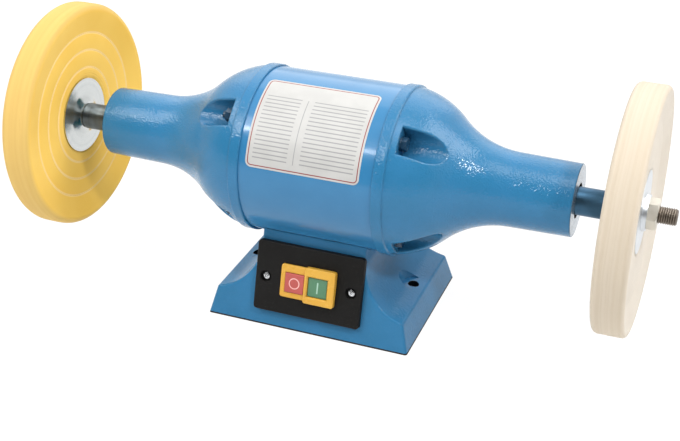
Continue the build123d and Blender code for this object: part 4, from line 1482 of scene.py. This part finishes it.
def hang(name: str, data: bpy.types.ID, place: Array, axes: list[Array]) -> bpy.types.Object:
    """Put a camera or a lamp in the scene.

    Args:
        name: The object's name.
        data: The camera or the lamp.
        place: Where it stands, in metres.
        axes: Its right, up and back directions.

    Returns:
        The object.
    """
    frame = np.eye(4)
    frame[:3, :3] = np.column_stack(axes)
    frame[:3, 3] = place
    thing = bpy.data.objects.new(name, data)
    thing.matrix_world = Matrix(frame.tolist())
    bpy.context.scene.collection.objects.link(thing)
    return thing


@dataclass(frozen=True)
class Viewpoint:
    """The photograph's camera: place in millimetres, angles in degrees, focal length in pixels."""

    place: Point = (342.459, -879.73, 595.834)
    yaw: float = 20.973
    pitch: float = -28.889
    roll: float = 0.319
    focal_px: float = 1244.186
    picture_w: float = 680.0
    sensor: float = 36.0
    clip: Pair = (0.01, 60.0)

    def axes(self) -> list[Array]:
        """Work out the camera's axes from yaw, pitch and roll.

        Returns:
            Its right, up and back directions.
        """
        yaw, pitch, roll = radians(self.yaw), radians(self.pitch), radians(self.roll)
        ahead = np.array([-sin(yaw) * cos(pitch), cos(yaw) * cos(pitch), sin(pitch)])
        level = np.array([cos(yaw), sin(yaw), 0.0])
        above = np.cross(level, ahead)
        return [cos(roll) * level + sin(roll) * above, cos(roll) * above - sin(roll) * level, -ahead]

    def build(self) -> None:
        """Make the camera the scene's own."""
        lens = bpy.data.cameras.new("viewpoint")
        lens.sensor_fit = "HORIZONTAL"
        lens.sensor_width = self.sensor
        lens.lens = self.focal_px / self.picture_w * self.sensor
        lens.clip_start, lens.clip_end = self.clip
        bpy.context.scene.camera = hang("viewpoint", lens, np.array(self.place) * MM, self.axes())


@dataclass(frozen=True)
class AreaLamp:
    """A rectangular soft lamp: place and aim in metres, size in metres, power in watts."""

    kind: Lamp
    place: Point
    aim: Point
    size: Pair
    power: float

    def build(self) -> None:
        """Hang the lamp, facing its aim."""
        light = bpy.data.lights.new(f"{self.kind.value}_lamp", "AREA")
        light.shape = "RECTANGLE"
        light.size, light.size_y = self.size
        light.energy = self.power
        back = np.array(self.place) - np.array(self.aim)
        back = back / np.linalg.norm(back)
        level = np.cross([0.0, 0.0, 1.0], back)
        level = level / np.linalg.norm(level)
        hang(light.name, light, np.array(self.place), [level, np.cross(back, level), back])


@dataclass
class Studio:
    """A white floor, a white world, soft lamps and a dark card that the gloss reflects."""

    floor_half: float = 6000.0
    floor_z: float = -0.05
    floor_grey: Colour = (0.85, 0.85, 0.85, 1.0)
    floor_glow: float = 1.09
    floor_share: float = 0.85
    sky_white: Colour = (1.0, 1.0, 1.0, 1.0)
    sky_light: float = 0.208
    card_black: Colour = (0.02, 0.02, 0.02, 1.0)
    card_r: float = 2200.0
    card_deg: Pair = (200.0, 340.0)
    card_z: Pair = (120.0, 2900.0)
    lamps: tuple[AreaLamp, ...] = (
        AreaLamp(Lamp.CEILING, (0.2, -0.27, 1.7), (0.0, 0.0, 0.1), (0.9, 0.75), 7.0),
        AreaLamp(Lamp.KEY, (1.25, -0.72, 1.7), (0.0, 0.0, 0.15), (0.22, 0.22), 15.0),
        AreaLamp(Lamp.STRIP, (-0.58, -1.13, 1.28), (0.0, 0.0, 0.15), (0.6, 0.16), 5.5),
        AreaLamp(Lamp.LEFT, (-1.4, -0.8, 1.7), (-0.15, 0.0, 0.135), (1.7, 0.9), 25.0),
        AreaLamp(Lamp.RIGHT, (1.75, 0.65, 1.9), (0.05, 0.0, 0.16), (1.45, 1.45), 34.5),
        AreaLamp(Lamp.BACK, (-0.5, 1.8, 1.7), (0.0, 0.0, 0.15), (3.0, 2.2), 24.0),
    )

    @staticmethod
    def _seen(graph: Graph) -> Socket:
        """Tell the rays that show the background: camera, glossy and transmission rays.

        Args:
            graph: The graph that asks.

        Returns:
            One for those rays, nought for the rest.
        """
        rays = graph.add("LightPath").outputs
        seen = graph.math("MAXIMUM", rays["Is Camera Ray"], rays["Is Glossy Ray"])
        return graph.math("MAXIMUM", seen, rays["Is Transmission Ray"])

    def floor(self) -> None:
        """Lay the floor: white to the rays that show it, with the shadow kept, and plain to the rest."""
        material = bpy.data.materials.new("floor_white")
        graph = Graph.bare(material)
        paper = graph.add("BsdfDiffuse", {"Color": self.floor_grey})
        glow = graph.add("Emission", {"Strength": self.floor_glow})
        share = graph.math("MULTIPLY", self._seen(graph), self.floor_share)
        mix = graph.add("MixShader", {0: share, 1: paper.outputs[0], 2: glow.outputs[0]})
        graph.add("OutputMaterial", {0: mix.outputs[0]})
        side = np.linspace(-self.floor_half, self.floor_half, 5)
        x, y = np.meshgrid(side, side)
        floor = Shell("floor").add(np.stack([x, y, np.full_like(x, self.floor_z)], axis=-1)).build()
        floor.data.materials.append(material)

    def world(self) -> None:
        """Light the set evenly, and show white behind it."""
        world = bpy.data.worlds.new("white_room")
        graph = Graph.bare(world)
        strength = graph.span(self._seen(graph), 0.0, 1.0, self.sky_light, 1.0)
        sky = graph.add("Background", {"Color": self.sky_white, "Strength": strength})
        graph.add("OutputWorld", {0: sky.outputs[0]})
        bpy.context.scene.world = world

    def dark_card(self) -> None:
        """Stand a dark card in front, part of a tall round wall, which only reflections see."""
        angle = np.radians(np.linspace(*self.card_deg, 29))[None]
        height = np.linspace(*self.card_z, 9)[:, None]
        x, y, z = np.broadcast_arrays(self.card_r * np.cos(angle), self.card_r * np.sin(angle), height)
        card = Shell("dark_card").add(np.stack([x, y, z], axis=-1)).build()
        card.data.materials.append(Coating("card_black", base_color=self.card_black, roughness=0.9).material)
        card.visible_camera = False
        card.visible_diffuse = False
        card.visible_shadow = False

    def build(self) -> None:
        """Set up floor, world, card and lamps."""
        self.floor()
        self.world()
        self.dark_card()
        for lamp in self.lamps:
            lamp.build()
        bpy.context.scene.view_settings.view_transform = "Standard"


def main() -> None:
    logging.basicConfig(level=logging.INFO, format="%(name)s: %(message)s")
    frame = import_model()
    at = Stations.read()
    shop = Workshop(frame["nodes"])
    Viewpoint().build()
    Foot().build(shop)
    Motor(at.nose).build(shop)
    Spindle(at).build(shop)
    cotton = Cloth("cotton_yellow", "#F8CB61", "#F3C354", "#E3BF70", "#DFB96A", 93.0, rings=STITCH_RINGS)
    felt = Cloth("felt_cream", "#D9D0C3", "#D3C9BB", "#D6C9B6", "#D1C3AE", 94.0)
    Wheel(
        End.LEFT, at.wheel, cotton, "yellow_cotton", plies=12, ply_round=0.04, ply_spread=0.4, edge_r=6.0,
        sewn=True, groove=0.45, ridge=0.14,
    ).build(shop)
    Wheel(
        End.RIGHT, at.wheel, felt, "cream_felt", plies=9, ply_round=0.07, ply_spread=0.6, edge_r=4.0,
        sewn=False, groove=0.0, ridge=0.0,
    ).build(shop)
    Switch().build(shop)
    Studio().build()


if __name__ == "__main__":
    main()
